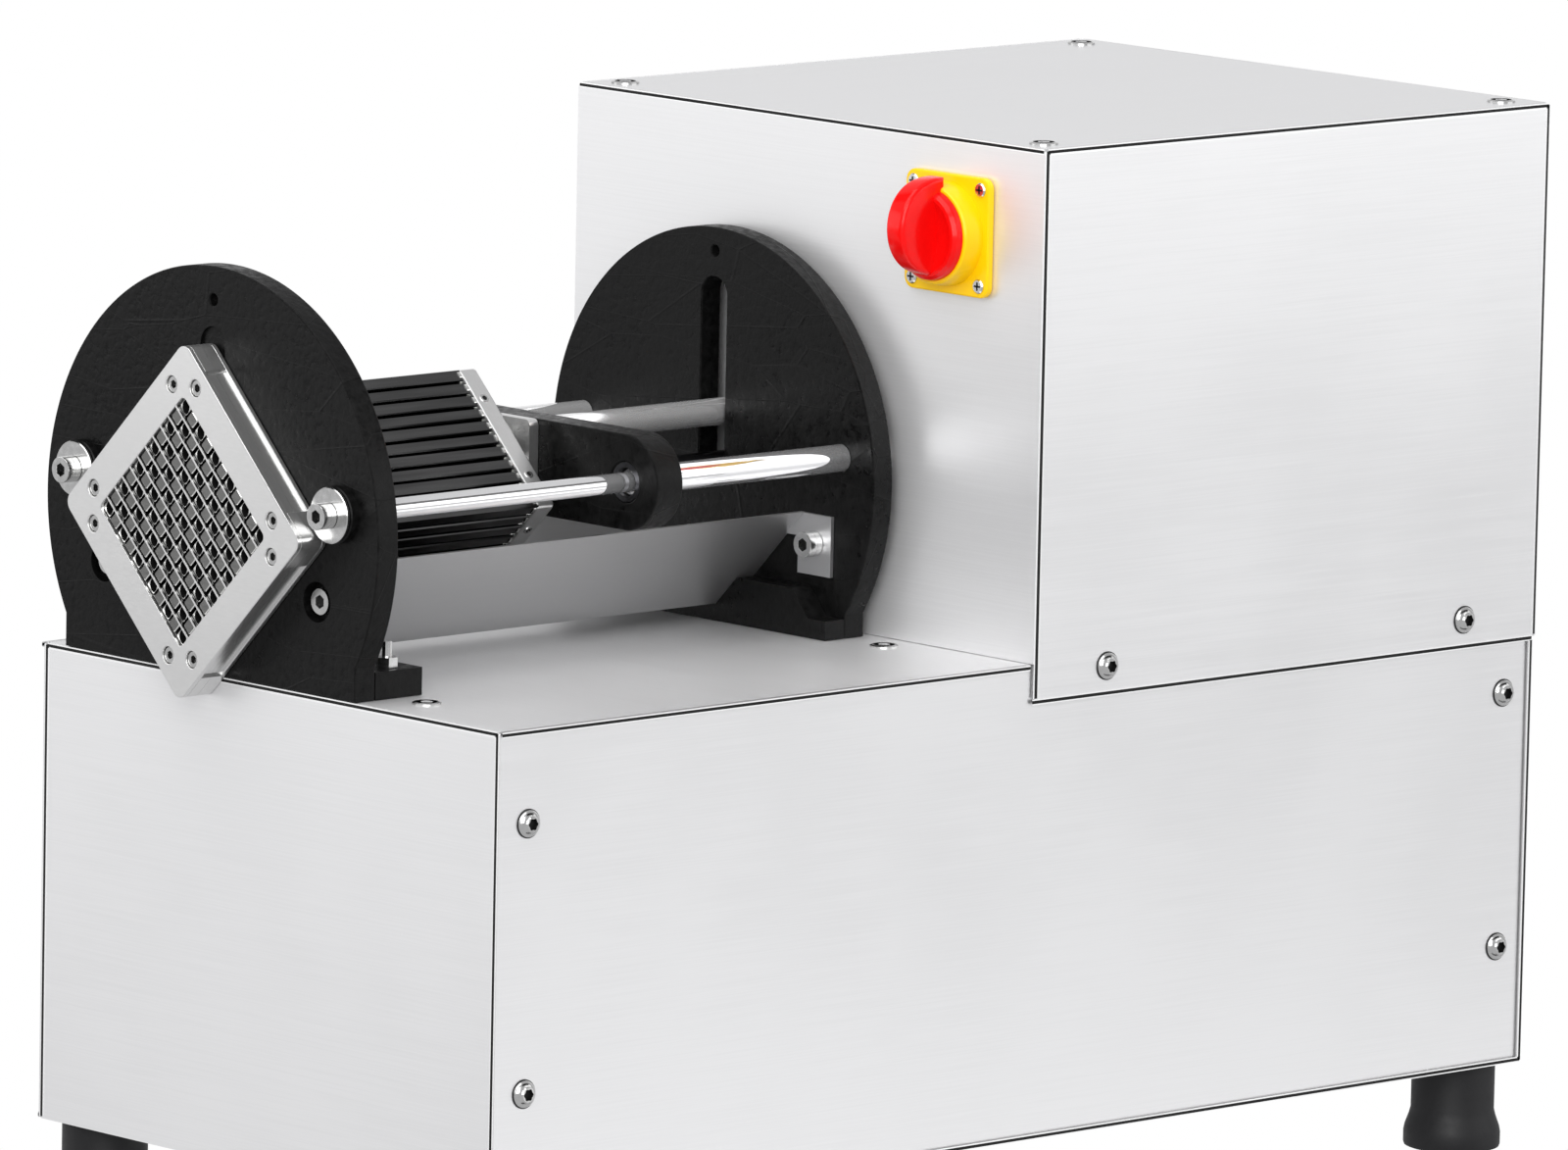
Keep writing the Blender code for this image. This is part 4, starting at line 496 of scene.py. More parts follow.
def ring_outline(groove):
    """The ring's outline; between the corner blocks its sides are milled in by the groove."""
    if groove == 0:
        return square(RING_SIDE, RING_CORNER)
    half = RING_SIDE / 2
    block, ramp = 0.019, 0.0012
    points = []
    for cos, sin in ((1, 0), (0, 1), (-1, 0), (0, -1)):
        side = [(half, half - block)]
        side += arc((half - RING_CORNER, half - RING_CORNER), RING_CORNER, 0, 90, 8)
        side += [(half - block, half), (half - block - ramp, half - groove),
                 (-(half - block - ramp), half - groove), (-(half - block), half)]
        points += [(u * cos - v * sin, u * sin + v * cos) for u, v in side]
    return [stand(point) for point in points]


def socket_screw(solid, place, radius, socket, height):
    """A cap head whose top has a hexagon socket; look 0 is the metal, 1 the painted shade on the
    socket's floor.
    """
    x, y, z = place
    floor = height * 0.4
    edge, film = 0.0003, 0.00005
    solid.plate([circle((0, 0), radius, 40), hexagon(socket)], height - floor, "x",
                (x - floor - (height - floor) / 2, y, z), edge)
    solid.turned([(0, 0), (radius, 0), (radius, floor + film), (0, floor + film)], "-x", place, 40)
    # A thin dark film of painted shade on the socket's floor.
    solid.turned([(0, 0), (socket, 0), (socket, 2 * film), (0, 2 * film)], "-x",
                 (x - floor - film, y, z), 24, 1)


def add_blades(ring, start, crossed):
    """One layer of blades; the layer in front shows its ground cutting edges."""
    blade, depth, edge = 0.0010, 0.008, 0.0003
    reach = (APERTURE + 0.003) / 2
    for index in range(1, CELLS):
        offset = index * PITCH - APERTURE / 2
        box = [(-reach, offset - blade / 2), (reach, offset - blade / 2),
               (reach, offset + blade / 2), (-reach, offset + blade / 2)]
        if crossed:
            box = [(-v, u) for u, v in box]
        outline = [stand(point) for point in box]
        ring.plate([outline], depth, "x", (start + RING_THICKNESS / 2, AXIS.y, AXIS.z), look=1)
        if not crossed:
            ring.plate([outline], edge, "x", (start + edge, AXIS.y, AXIS.z))


def blade_ring(name, start, crossed, node):
    """Half of the frame: a lip of full size on its outer side, milled in behind the lip."""
    lip, groove, overlap, edge, screw_hole = 0.0028, 0.0016, 0.0002, 0.0004, 0.0043
    holes = [square(APERTURE, APERTURE_CORNER)]
    if crossed:
        rim = start + RING_THICKNESS - lip / 2
        core = start + (RING_THICKNESS - lip) / 2
    else:
        holes += [circle(point, screw_hole, 32) for point in ring_screw_places()]
        rim = start + lip / 2
        core = start + (RING_THICKNESS + lip) / 2
    ring = Solid()
    ring.plate([ring_outline(0)] + holes, lip, "x", (rim, AXIS.y, AXIS.z), edge)
    ring.plate([ring_outline(groove)] + holes, RING_THICKNESS - lip + overlap, "x",
               (core, AXIS.y, AXIS.z))
    add_blades(ring, start, crossed)
    ring.piece(name, [MACHINED, BLADE], ROOT, "machined_steel", [node])


def blade_frame():
    blade_ring("blade_ring_face", RING_FACE, False, "blade_ring_front")
    blade_ring("blade_ring_back", RING_FACE + RING_THICKNESS + GAP, True, "blade_ring_rear")
    seat, height = 0.006, 0.0048
    screws = Solid()
    for u, v in ring_screw_places():
        place = (RING_FACE + seat, AXIS.y + u, AXIS.z + v)
        socket_screw(screws, place, RING_HEAD, RING_SOCKET, height)
    screws.piece("ring_socket_screws", [SCREW, PAINTED_SHADE_BLACK], ROOT, "machined_steel")


# Pusher and carriage

def pusher():
    side, corner, thickness, edge, spacing = 0.0875, 0.003, 0.011, 0.0008, 0.024
    face = PUSHER_HIGH.x - thickness
    centre = (PUSHER_HIGH.x - thickness / 2, AXIS.y, AXIS.z)
    plate = Solid()
    plate.plate([square(side, corner)], thickness, "x", centre, edge)
    for way in (-1, 1):
        turned = Matrix.Translation(centre) @ Matrix.Rotation(way * math.pi / 4, 4, "X")
        for along in (-spacing, spacing):
            add_grub_screw(plate, turned @ Matrix.Translation((0, -side / 2, along)))
    plate.piece("pusher_face_plate", [MACHINED, SCREW, PAINTED_SHADE_BLACK], CARRIAGE, "machined_steel",
                ["pusher_plate"])
    pins = Solid()
    for row in range(CELLS):
        for column in range(CELLS):
            u, v = stand(((column + 0.5) * PITCH - APERTURE / 2,
                          (row + 0.5) * PITCH - APERTURE / 2))
            add_pin(pins, AXIS.y + u, AXIS.z + v, face, (row + column) % 2 == 0)
    pins.piece("pusher_pins", [PIN, PIN_HIGHLIGHT, PIN_END, PAINTED_SHADE_BLACK], CARRIAGE, "machined_steel")


def add_grub_screw(solid, matrix):
    """A small grub screw sunk in an edge of the pusher plate."""
    inner, outer, height = 0.0014, 0.0024, 0.0004
    solid.turned([(inner, 0), (outer, 0), (outer, height), (inner, height), (inner, 0)], "-y",
                 (0, 0, 0), 24, 1, matrix)
    # A flat dark cone of painted shade stands for the screw's socket.
    solid.turned([(0, 0.0001), (0.0015, 0.0001), (0, 0.0002)], "-y", (0, 0, 0), 6, 2, matrix)


def lens(half_width, half_height, steps=10):
    """The pointed oval of a tube's bore: two arcs that meet above and below."""
    radius = (half_width ** 2 + half_height ** 2) / (2 * half_width)
    offset = radius - half_width
    swing = math.degrees(math.asin(half_height / radius))
    return (arc((-offset, 0), radius, -swing, swing, steps)[:-1]
            + arc((offset, 0), radius, 180 - swing, 180 + swing, steps)[:-1])


def octagon(half, flat):
    section = [(half, -flat), (half, flat), (flat, half), (-flat, half), (-half, flat),
               (-half, -flat), (-flat, -half), (flat, -half)]
    return [stand(point) for point in section]


def scaled(outline, share):
    return [(u * share, v * share) for u, v in outline]


def frustum(outer, inner, depth):
    """The chamfer from an inner outline at x = 0 to an outer one at x = depth, capped."""
    work = bmesh.new()
    back = [work.verts.new((depth, u, v)) for u, v in outer]
    front = [work.verts.new((0, u, v)) for u, v in inner]
    count = len(outer)
    for index in range(count):
        follow = (index + 1) % count
        work.faces.new((back[index], back[follow], front[follow], front[index]))
    work.faces.new(front)
    mesh = bpy.data.meshes.new("frustum")
    work.to_mesh(mesh)
    work.free()
    return mesh


def add_tube_tip(pins, tip, y, z):
    """The open tip of a pin, dark with painted shade, with a rim of painted highlight. Gives the
    pin's section and where its closed part starts.
    """
    rim, depth, floor = 0.0004, 0.005, 0.0004
    outer = octagon(0.0032, 0.0027)
    inner = lens(0.0027, 0.0038)
    # Walls, bore and floor in painted shade; the rim in painted highlight.
    pins.plate([outer, inner], depth, "x", (tip + rim + depth / 2, y, z), look=3)
    pins.plate([outer, inner], rim, "x", (tip + rim / 2, y, z), look=1)
    pins.plate([scaled(outer, 0.99)], floor, "x", (tip + depth - floor / 2, y, z), look=3)
    return outer, tip + rim + depth


def add_closed_tip(pins, tip, y, z):
    """The chamfered tip of a pin, its chamfer in painted highlight. Gives the pin's section and where
    its full size starts.
    """
    half, rim, film = 0.0031, 0.0004, 0.0001
    outer = octagon(half, 0.0025)
    inner = scaled(outer, 1 - rim / half)
    # The chamfer in painted highlight; the end face in the pins' sawn grey.
    pins.add(frustum(outer, inner, rim), (tip, y, z), 1)
    pins.plate([scaled(inner, 0.98)], film, "x", (tip, y, z), look=2)
    return outer, tip + rim


def add_pin(pins, y, z, face, hollow):
    """A dark pin with a collar of painted highlight on the plate; the open pins are a little shorter.
    """
    shorter, sunk = 0.001, 0.001
    if hollow:
        section, start = add_tube_tip(pins, PUSHER_LOW.x + shorter, y, z)
    else:
        section, start = add_closed_tip(pins, PUSHER_LOW.x, y, z)
    length = face + sunk - start
    pins.plate([section], length, "x", (start + length / 2, y, z))
    bore, outer, height = 0.0029, 0.0037, 0.0016
    # The collar: a ring of painted highlight at the pin's root.
    pins.turned([(bore, 0), (outer, 0), (outer, height), (bore, height)], "-x", (face, y, z), 16, 1)


def carriage_board():
    edge, bush_hole, upper_hole, lower_hole, upper_rise = 0.0008, 0.0103, 0.0073, 0.0063, 0.026
    low, high = span_of("carriage_plate")
    radius = (high.z - low.z) / 2
    reach = (high.y - low.y) / 2 - radius
    outline = arc((reach, ROD_RISE), radius, -90, 90, 64)
    outline += arc((-reach, ROD_RISE), radius, 90, 270, 64)
    holes = mirrored(reach, ROD_RISE, bush_hole)
    holes += [circle((0, upper_rise), upper_hole), circle((0, 0), lower_hole)]
    board = Solid()
    board.plate([outline] + holes, high.x - low.x, "x", ((low.x + high.x) / 2, AXIS.y, AXIS.z), edge)
    board.piece("carriage_board", [BOARD], CARRIAGE, "black_polyethylene", ["carriage_plate"])


def carriage_bushes():
    """The flanged bushes that run on the tie rods."""
    bore, radius, flange, flange_depth, chamfer = 0.0073, 0.0100, 0.0130, 0.002, 0.0003
    for label in ("near", "far"):
        node = f"carriage_bush_{label}"
        low, high = span_of(node)
        centre = middle(node)
        length = high.x - low.x
        bush = Solid()
        bush.turned([(bore, 0), (radius, 0), (radius, length - flange_depth),
                     (flange, length - flange_depth), (flange, length - chamfer),
                     (flange - chamfer, length), (bore, length), (bore, 0)], "+x",
                    (low.x, centre.y, centre.z), 64)
        bush.piece(f"{node}_fine", [DARK], CARRIAGE, "bearing_bronze", [node])


def tie_rod_profile(low, high, radius):
    """A rod that is thin as far as the carriage's place at rest and thick behind it."""
    neck, chamfer = 0.005, 0.0006
    shoulder = span_of("carriage_plate")[0].x + 0.004
    rear = REAR_LOW.x - GAP
    return [(0, low), (neck, low), (neck, shoulder - 0.001), (neck, shoulder),
            (radius - chamfer, shoulder), (radius, shoulder + chamfer), (radius, rear),
            (neck, rear), (neck, high), (0, high)]


def ram_rod_profile(low, high, radius):
    """A rod with a collar in front of the adapter plate."""
    collar, length, collar_chamfer, chamfer = 0.009, 0.008, 0.0005, 0.0006
    end = min(low + length, span_of("adapter_plate")[0].x - GAP)
    return [(0, low), (collar - collar_chamfer, low), (collar, low + collar_chamfer),
            (collar, end), (radius, end), (radius, high - chamfer), (radius - chamfer, high),
            (0, high)]


def rods():
    for name, body, profile, radius, look, slot in (
            ("tie_rod_near", ROOT, tie_rod_profile, 0.007, CHROME, "chromed_rod"),
            ("tie_rod_far", ROOT, tie_rod_profile, 0.007, SATIN, "chromed_rod"),
            ("ram_rod_upper", CARRIAGE, ram_rod_profile, 0.007, SATIN, "chromed_rod"),
            ("ram_rod_lower", CARRIAGE, ram_rod_profile, 0.006, DARK, "dark_steel")):
        low, high = span_of(name)
        centre = middle(name)
        rod = Solid()
        rod.turned(profile(low.x, high.x, radius), "+x", (0, 0, 0), 72)
        rod.piece(f"{name}_fine", [look], body, slot, [name], (0, centre.y, centre.z))


# Fasteners

def rod_washer(label):
    node = f"tie_rod_washer_{label}"
    low, high = span_of(node)
    centre = middle(node)
    bore, thickness, chamfer = 0.0052, 0.002, 0.0004
    radius = (high.z - low.z) / 2
    washer = Solid()
    washer.turned([(bore, 0), (radius - chamfer, 0), (radius, chamfer),
                   (radius, thickness - chamfer), (radius - chamfer, thickness),
                   (bore, thickness), (bore, 0)], "-x", (high.x, centre.y, centre.z), 72)
    washer.piece(f"rod_washer_{label}", [SCREW], ROOT, "plated_fastener", [node])


def rod_cap_screw(label):
    height = 0.008
    low = span_of(f"tie_rod_washer_{label}")[0]
    centre = middle(f"tie_rod_washer_{label}")
    head = Solid()
    socket_screw(head, (low.x - GAP, centre.y, centre.z), CAP_HEAD, CAP_SOCKET, height)
    head.piece(f"rod_cap_screw_{label}", [SCREW, PAINTED_SHADE_BLACK], ROOT, "plated_fastener",
               [f"tie_rod_cap_screw_{label}"])


def rod_dome_nut(label):
    node = f"tie_rod_dome_nut_{label}"
    low, high = span_of(node)
    centre = middle(f"tie_rod_washer_{label}")
    radius, height = 0.009, high.x - low.x
    dome = [(radius * math.cos(k * TURN / 40), height * math.sin(k * TURN / 40)) for k in range(10)]
    nut = Solid()
    nut.turned([(0, 0)] + dome + [(0, height)], "+x", (low.x, centre.y, centre.z))
    nut.piece(f"rod_dome_nut_{label}", [SCREW], ROOT, "plated_fastener", [node])


def trough_screw(end, label, height):
    node = f"trough_screw_{end}_{label}"
    low, high = span_of(node)
    centre = middle(node)
    shank, length = 0.004, high.x - low.x - height
    place = (low.x + height, centre.y, centre.z)
    screw = Solid()
    socket_screw(screw, place, CAP_HEAD, CAP_SOCKET, height)
    screw.turned([(0, 0), (shank, 0), (shank, length), (0, length)], "+x", place, 32)
    screw.piece(f"{node}_fine", [SCREW, PAINTED_SHADE_BLACK], ROOT, "plated_fastener", [node])


def fasteners():
    """Washers, socket cap screws and dome nuts on the discs."""
    for label in ("near", "far"):
        rod_washer(label)
        rod_cap_screw(label)
        rod_dome_nut(label)
        trough_screw("front", label, 0.004)
        trough_screw("rear", label, 0.008)


def button_mesh():
    """A domed head with a six-lobed recess darkened by painted shade, pointing along -y from its
    seat.
    """
    dome = [(BUTTON_RADIUS * math.cos(k * TURN / 48), BUTTON_HEIGHT * math.sin(k * TURN / 48))
            for k in range(12)]
    flat = BUTTON_RECESS * 1.15
    dome = [point for point in dome if point[0] > flat]
    head = Solid()
    head.turned([(0, 0)] + dome + [(flat, BUTTON_HEIGHT), (0, BUTTON_HEIGHT)], "-y", (0, 0, 0))
    made = head.mesh("button_head")
    made.materials.append(SCREW)
    made.materials.append(PAINTED_SHADE_BLACK)
    piece = bpy.data.objects.new("button_head", made)
    bpy.context.scene.collection.objects.link(piece)
    depth = BUTTON_HEIGHT * 0.6
    cut(piece, plate_mesh([lobes(BUTTON_RECESS)], 2 * depth, "y"), (0, -BUTTON_HEIGHT, 0))
    made = piece.data
    bpy.data.objects.remove(piece, do_unlink=True)
    # The recess's faces get the painted shade.
    for face in made.polygons:
        centre = face.center
        inside = math.hypot(centre.x, centre.z) < BUTTON_RECESS * 1.02
        if inside and centre.y > -BUTTON_HEIGHT * 0.98:
            face.material_index = 1
    return made


def panel_screws():
    """The domed heads on the near side, each on a thin ring of painted contact shadow."""
    inner, outer, thickness = 0.005, 0.0072, 0.0002
    rim = [(inner, 0), (outer, 0), (outer, thickness), (inner, thickness), (inner, 0)]
    head = button_mesh()
    rims = Solid()
    names = [f"front_panel_screw_{k}" for k in (1, 2, 3, 4)] + ["skirt_screw_1", "skirt_screw_2"]
    for name in names:
        centre = middle(name)
        place = (centre.x, span_of(name)[0].y + BUTTON_HEIGHT, centre.z)
        show(f"{name}_head", head, [SCREW, PAINTED_SHADE_BLACK], ROOT, [name], place)
        # A ring of painted shadow around each head.
        rims.turned(rim, "-y", place)
    rims.piece("panel_screw_painted_shadows", [PAINTED_SHADE_BLACK], ROOT, "plated_fastener")


def flush_screws():
    """Low countersunk heads on the housing's top and on the base top."""
    radius, rim, recess, depth, sunk, slope = 0.0072, 0.0062, 0.0030, 0.0007, 0.0012, 0.0004
    profile = [(0, -sunk), (radius, -sunk), (radius, -slope), (rim, 0), (recess, 0),
               (recess, -depth), (0, -depth)]
    inset, top_half = 0.016, 0.170
    from_front_disc, from_axis = 0.015, 0.130
    left = span_of("housing_left_panel")[0].x + inset
    right = span_of("base_front_panel")[1].x - inset
    roof = span_of("housing_wrap")[1].z
    deck = span_of("base_wrap")[1].z
    spots = [(x, y, roof) for x in (left, right) for y in (inset - top_half, top_half - inset)]
    spots += [(x, AXIS.y - from_axis, deck) for x in (FRONT_HIGH.x + from_front_disc, REAR_LOW.x)]
    solid = Solid()
    for x, y, z in spots:
        solid.turned(profile, "+z", (x, y, z))
        # A dark disc of painted shade in each recess.
        solid.turned([(0, -0.0001), (0.0029, -0.0001), (0, 0)], "+z", (x, y, z - 0.0005), 6, 1)
    solid.piece("flush_screws", [SCREW, PAINTED_SHADE_BLACK], ROOT, "brushed_stainless")


# Switch

SWITCH_THICKNESS = 0.004


def add_cross_screw(solid, place):
    """A small round head with a cross of painted shade standing for its recess; look 1 is the head, 2
    the cross.
    """
    solid.turned([(0, 0), (0.0036, 0), (0.0036, 0.0005), (0.0030, 0.0012), (0, 0.0012)], "-x",
                 place, 32, 1)
    # The cross is a dark film of painted shade, not a cut recess.
    film, width, length = 0.0002, 0.0009, 0.0042
    for size in ((film, width, length), (film, length, width)):
        solid.block(size, (place[0] - 0.00125, place[1], place[2]), 2)


def switch_plate():
    """The yellow plate with its round collar and four screws."""
    low, high = span_of("switch_plate")
    centre = middle("switch_plate")
    side = high.z - low.z
    corner, edge, screw_offset = 0.006, 0.0009, 0.024
    face = high.x - SWITCH_THICKNESS
    solid = Solid()
    solid.plate([flat_square(side, corner, 10)], SWITCH_THICKNESS, "x",
                (high.x - SWITCH_THICKNESS / 2, centre.y, centre.z), edge)
    solid.turned([(0, 0), (0.0262, 0), (0.0260, 0.0030), (0.0248, 0.0096), (0.0240, 0.0105),
                  (0, 0.0105)], "-x", (face, centre.y, centre.z), 96)
    for su in (-1, 1):
        for sv in (-1, 1):
            add_cross_screw(solid, (face, centre.y + su * screw_offset,
                                    centre.z + sv * screw_offset))
    solid.piece("switch_face_plate", [YELLOW, SCREW, PAINTED_SHADE_BLACK], ROOT, "yellow_plastic",
                ["switch_plate"])


def switch_knob():
    """The red disc with a rounded grip across it."""
    low, high = span_of("switch_knob")
    centre = middle("switch_plate")
    rear = high.x - 0.006
    knob = Solid()
    knob.turned([(0, 0), (0.0228, 0), (0.0230, 0.0006), (0.0229, 0.0056), (0.0222, 0.0084),
                 (0.0207, 0.0102), (0.0190, 0.0104), (0.0150, 0.0082), (0.0080, 0.0068),
                 (0, 0.0064)], "-x", (rear, centre.y, centre.z), 96)
    back, grip, edge, steps, fullness = 0.002, 0.0125, 0.0024, 60, 0.8
    rise = rear - low.x - back
    top, bottom = high.z - centre.z, 0.020
    outline = []
    for step in range(steps + 1):
        angle = math.pi * step / steps
        reach = rise * max(0.0, math.sin(angle)) ** fullness
        outline.append((-back - reach, (top - bottom) / 2 + (top + bottom) / 2 * math.cos(angle)))
    knob.plate([outline], grip, "y", (rear, centre.y, centre.z), edge)
    knob.piece("switch_knob_fine", [RED], KNOB, "red_plastic", ["switch_knob"])


# Feet

def feet():
    """Rubber feet, wide at the ground and narrower above."""
    base, neck, height = 0.025, 0.0215, 0.045
    profile = [(0, 0), (0.023, 0), (0.0245, 0.0006), (base, 0.002), (base, 0.008),
               (0.0244, 0.011), (0.0224, 0.0165), (neck, 0.020), (neck, 0.0436),
               (0.0209, 0.0448), (0.0195, height), (0, height)]
    for name in ("foot_front_left", "foot_back_left", "foot_front_right", "foot_back_right"):
        centre = middle(name)
        foot = Solid()
        foot.turned(profile, "+z", (centre.x, centre.y, 0), 72)
        foot.piece(f"{name}_rubber", [RUBBER], ROOT, "black_rubber", [name])


# Seams: dark strips of painted shade along them, with painted highlights beside

SEAM_PROUD, SEAM_SINK = 0.0001, 0.0003
SEAM_NEAR, SEAM_FAR = 0.0006, 0.0021
SETBACK, BREAK_OFF = 0.001, 0.002


class PaintedSeamShade:
    """Painted shade as dark lines where sheets meet or bend, with painted highlights beside them,
    gathered into one solid.
    """

    def __init__(self, face):
        self.face = face
        self.solid = Solid()

    def line(self, low, high, facing):
        """A dark strip of painted shade and a painted highlight on each side of it; facing is its
        thin axis.
        """
        lip = 0.0006
        size = [b - a for a, b in zip(low, high)]
        centre = [(a + b) / 2 for a, b in zip(low, high)]
        self.solid.block(size, centre)
        across = min({0, 1, 2} - {facing}, key=lambda axis: size[axis])
        bright = list(size)
        bright[across] = lip
        bright[facing] *= 0.9
        for side in (-1, 1):
            place = list(centre)
            place[across] += side * (size[across] + lip) / 2
            self.solid.block(bright, place, 1)

    def on_long_sides(self, x, z):
        for low, high in ((self.face - SEAM_PROUD, self.face + SEAM_SINK),
                          (-self.face - SEAM_SINK, -self.face + SEAM_PROUD)):
            self.line((x[0], low, z[0]), (x[1], high, z[1]), 1)

    def on_left(self, y, z, end):
        self.line((end - SEAM_PROUD, y[0], z[0]), (end + SEAM_SINK, y[1], z[1]), 0)

    def on_right(self, y, z, end):
        """The right end closes the whole part, so a line there lies flush."""
        self.line((end - SEAM_SINK, y[0], z[0]), (end, y[1], z[1]), 0)


def housing_seam_shade(lines):
    low, high = span_of("housing_left_panel")
    right = span_of("housing_right_panel")[1].x
    skirt, top = span_of("housing_wrap")[0].z, high.z
    upright = (skirt + SETBACK, top - SETBACK)
    across = (low.y + SETBACK, -low.y - SETBACK)
    under_top = (top - SEAM_FAR, top - SEAM_NEAR)
    lines.on_long_sides((high.x - 0.0005, high.x + 0.0015), upright)
    lines.on_long_sides((high.x + SETBACK, right - SETBACK), under_top)
    lines.on_long_sides((right - SEAM_FAR, right - SEAM_NEAR), upright)
    lines.on_left(across, under_top, low.x)
    lines.on_right(across, under_top, right)


def base_seam_shade(lines):
    low, high = span_of("base_front_panel")
    left, right = span_of("base_wrap")[0].x, high.x
    panel, skirt = span_of("housing_left_panel")[0].x, span_of("housing_wrap")[0].z
    bottom, deck = low.z, high.z
    under_deck = (deck - SEAM_FAR, deck - SEAM_NEAR)
    below_skirt = (bottom + SETBACK, skirt - BREAK_OFF)
    lines.on_long_sides((low.x, panel - BREAK_OFF), under_deck)
    # Painted shadow under the housing's skirt, a dark strip on both long sides.
    lines.on_long_sides((panel, right - SETBACK), (skirt - 0.0016, skirt))
    lines.on_long_sides((right - SEAM_FAR, right - SEAM_NEAR), below_skirt)
    lines.on_long_sides((low.x + SETBACK, right - SETBACK),
                        (bottom + SEAM_NEAR, bottom + SEAM_FAR))
    for side in (-1, 1):
        corner = sorted((side * (high.y - 0.0003), side * (high.y + 0.0014)))
        lines.on_left(corner, (bottom + SETBACK, deck - SETBACK), left)
        lines.on_right(corner, below_skirt, right)
    lines.on_left((high.y + SETBACK, -high.y - SETBACK), under_deck, left)


def paint_seam_shade():
    # Painted shade and painted highlights along the housing's and the base's seams.
    lines = PaintedSeamShade(span_of("housing_left_panel")[0].y)
    housing_seam_shade(lines)
    base_seam_shade(lines)
    lines.solid.piece("painted_seam_shade", [PAINTED_SHADE_BLACK, SEAM_HIGHLIGHT], ROOT, "brushed_stainless")


# Finishes and soft edges on the pieces that keep their shape

def dress(node, look, soft=0.0):
    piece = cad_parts[node]
    piece.data.materials.clear()
    piece.data.materials.append(look)
    if soft:
        bevel = piece.modifiers.new("soft_edges", "BEVEL")
        bevel.width = soft
        bevel.segments = 2
        bevel.limit_method = "ANGLE"
        bevel.angle_limit = math.radians(40)
        bevel.use_clamp_overlap = True


def dress_frame():
    edge, small_edge = 0.0006, 0.0003
    for node in ("base_wrap", "housing_left_panel", "housing_right_panel"):
        dress(node, BRUSHED_Y, edge)
    for node in ("base_front_panel", "base_back_panel", "housing_wrap"):
        dress(node, BRUSHED_X, edge)
    for node in ("front_foot_bar", "rear_foot_bar"):
        dress(node, BOARD, edge)
    for node in ("foot_bar_stud_near", "foot_bar_stud_far"):
        dress(node, SCREW, small_edge)
    dress("v_trough", TROUGH, edge)
    dress("base_frame", BRUSHED_Y)
    for node in ("ram_guide_block", "switch_body", "cable_gland"):
        dress(node, BOARD)
    for node in ("adapter_plate", "output_shaft"):
        dress(node, MACHINED)
    for node in ("drive_plate", "pusher_standoff_near", "pusher_standoff_far"):
        dress(node, SCREW)
    for node in ("crosshead", "connecting_rod", "motor_fan_cover"):
        dress(node, DARK)
    for node in ("crank", "gearbox", "motor"):
        dress(node, CASTING)


def build():
    dress_frame()
    front_disc()
    rear_disc()
    blade_frame()
    pusher()
    carriage_board()
    carriage_bushes()
    rods()
    fasteners()
    panel_screws()
    flush_screws()
    paint_seam_shade()
    switch_plate()
    switch_knob()
    feet()


# Studio

def camera():
    focal_px, picture_px, sensor = 14000.0, 1600, 36.0
    azimuth, elevation, roll = (math.radians(value) for value in (46.983, 8.660, 1.166))
    place = Vector((-4.6644, -4.9952, 1.3501))
    forward = Vector((math.cos(elevation) * math.cos(azimuth),
                      math.cos(elevation) * math.sin(azimuth), -math.sin(elevation)))
    right = Vector((math.sin(azimuth), -math.cos(azimuth), 0))
    up = right.cross(forward)
    turned_right = right * math.cos(roll) + up * math.sin(roll)
    turned_up = up * math.cos(roll) - right * math.sin(roll)
    data = bpy.data.cameras.new("camera")
    data.sensor_width = sensor
    data.lens = focal_px * sensor / picture_px
    data.clip_end = 100
    holder = bpy.data.objects.new("camera", data)
    axes = Matrix((turned_right, turned_up, -forward)).transposed().to_4x4()
    holder.matrix_world = Matrix.Translation(place) @ axes
    bpy.context.scene.collection.objects.link(holder)
    bpy.context.scene.camera = holder


def area(name, place, target, size, power):
    data = bpy.data.lights.new(name, "AREA")
    data.shape = "RECTANGLE"
    data.size, data.size_y = size
    data.energy = power
    lamp = bpy.data.objects.new(name, data)
    lamp.location = place
    aim = Vector(target) - Vector(place)
    lamp.rotation_euler = aim.to_track_quat("-Z", "Y").to_euler()
    bpy.context.scene.collection.objects.link(lamp)


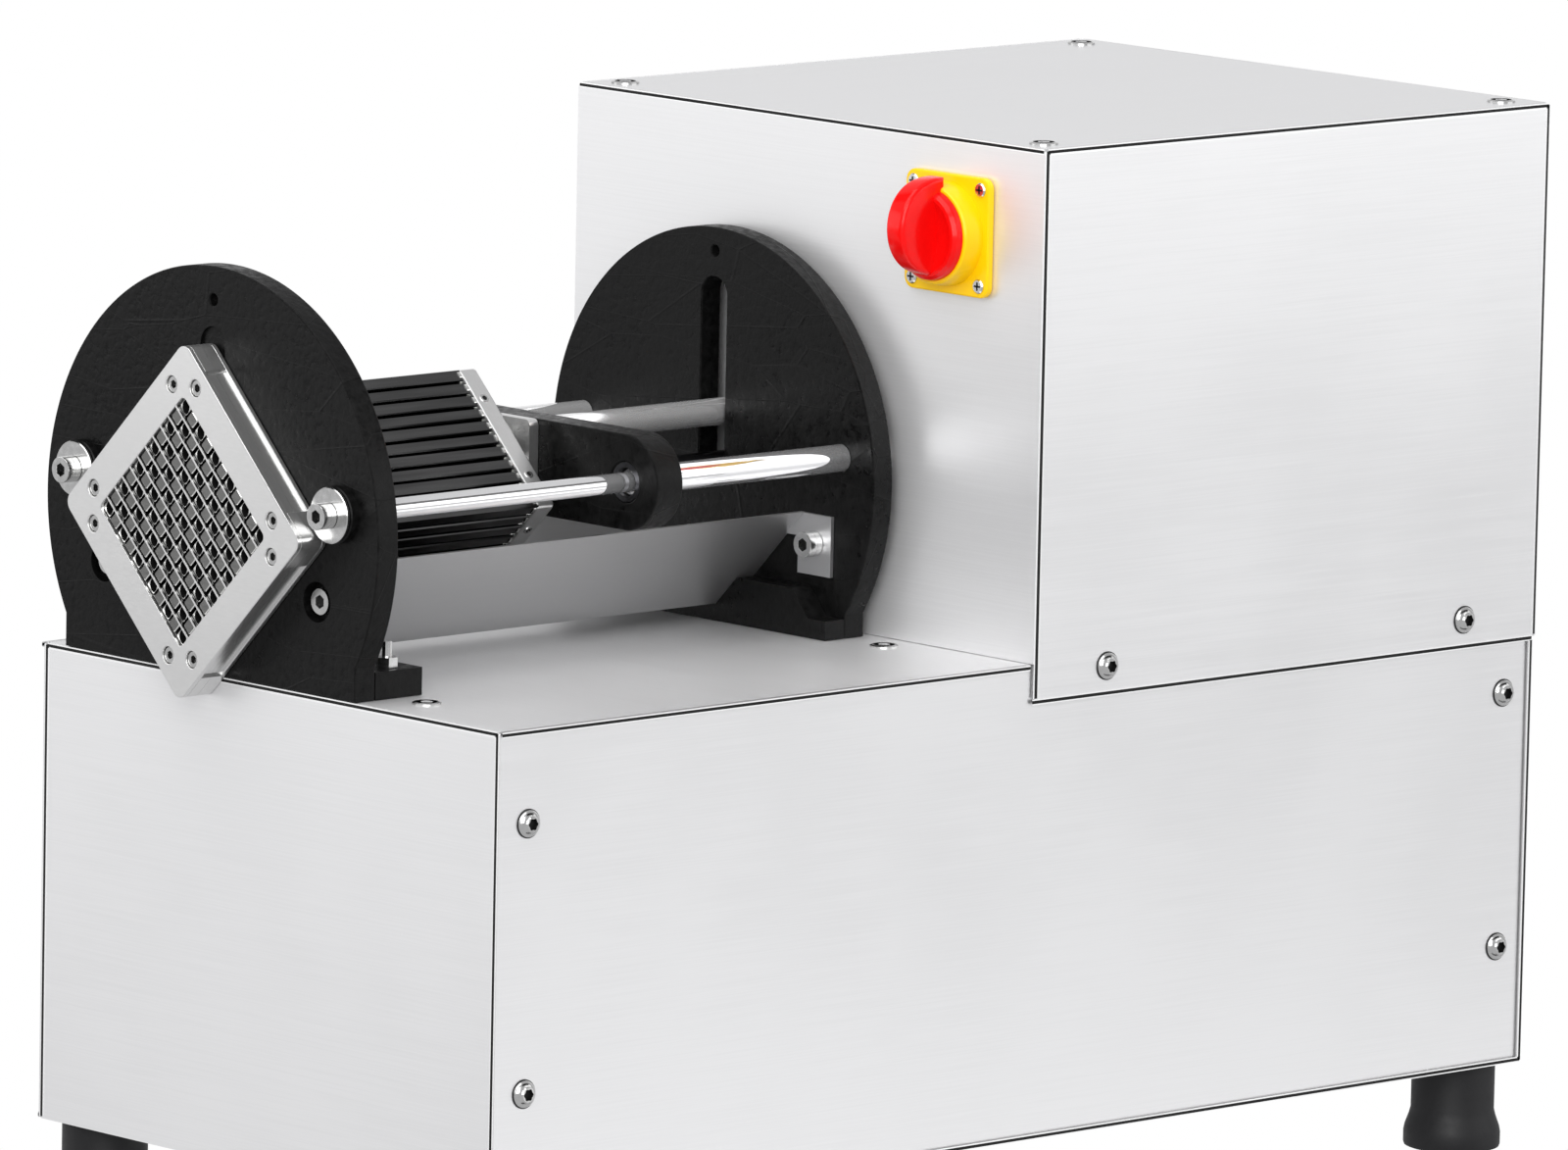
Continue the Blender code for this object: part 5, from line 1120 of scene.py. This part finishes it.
def card(name, place, turn, size):
    """A black card out of the picture, which rods, screws and bends mirror as a dark line."""
    half_x, half_y = size[0] / 2, size[1] / 2
    mesh = bpy.data.meshes.new(name)
    mesh.from_pydata([(-half_x, -half_y, 0), (half_x, -half_y, 0), (half_x, half_y, 0),
                      (-half_x, half_y, 0)], [], [(0, 1, 2, 3)])
    mesh.materials.append(PAINTED_SHADE_BLACK)
    sheet = bpy.data.objects.new(name, mesh)
    sheet.location = place
    sheet.rotation_euler = [math.radians(value) for value in turn]
    sheet.visible_camera = False
    sheet.visible_shadow = False
    sheet.visible_diffuse = False
    bpy.context.scene.collection.objects.link(sheet)


def studio():
    world = bpy.data.worlds.new("studio")
    bpy.context.scene.world = world
    world.use_nodes = True
    tree = world.node_tree
    tree.nodes.clear()
    out = tree.nodes.new("ShaderNodeOutputWorld")
    seen = tree.nodes.new("ShaderNodeBackground")
    seen.inputs["Color"].default_value = (1, 1, 1, 1)
    seen.inputs["Strength"].default_value = 1.0
    around = tree.nodes.new("ShaderNodeBackground")
    around.inputs["Color"].default_value = (0.80, 0.80, 0.81, 1)
    around.inputs["Strength"].default_value = 0.72
    mix = tree.nodes.new("ShaderNodeMixShader")
    path = tree.nodes.new("ShaderNodeLightPath")
    tree.links.new(path.outputs["Is Camera Ray"], mix.inputs["Fac"])
    tree.links.new(around.outputs["Background"], mix.inputs[1])
    tree.links.new(seen.outputs["Background"], mix.inputs[2])
    tree.links.new(mix.outputs["Shader"], out.inputs["Surface"])

    area("key_right", (1.9, -2.3, 1.1), (0, 0, 0.3), (2.6, 1.8), 17)
    area("low_right", (1.9, -2.3, -0.9), (0, 0, 0.2), (2.6, 0.8), 5)
    area("top", (-1.2, 0.0, 2.6), (0, 0, 0.3), (2.4, 2.4), 42)
    area("left_back", (-2.4, 2.4, 0.9), (0, 0, 0.3), (1.8, 1.6), 10)
    area("behind", (2.4, 2.6, 1.4), (0, 0, 0.5), (3.6, 1.2), 4)
    area("front_fill", (-2.6, -2.6, 1.8), (0, 0, 0.3), (3.2, 2.6), 105)
    card("high_card", (1.7, -1.6, 1.95), (50, 0, 0), (3.8, 0.9))
    card("low_card", (1.8, -1.2, -1.2), (90, 0, 0), (4.0, 0.5))
    card("back_card", (-0.7, 1.9, 2.1), (0, 0, 0), (0.9, 2.6))

    bpy.context.scene.view_settings.view_transform = "Standard"


camera()
studio()
build()
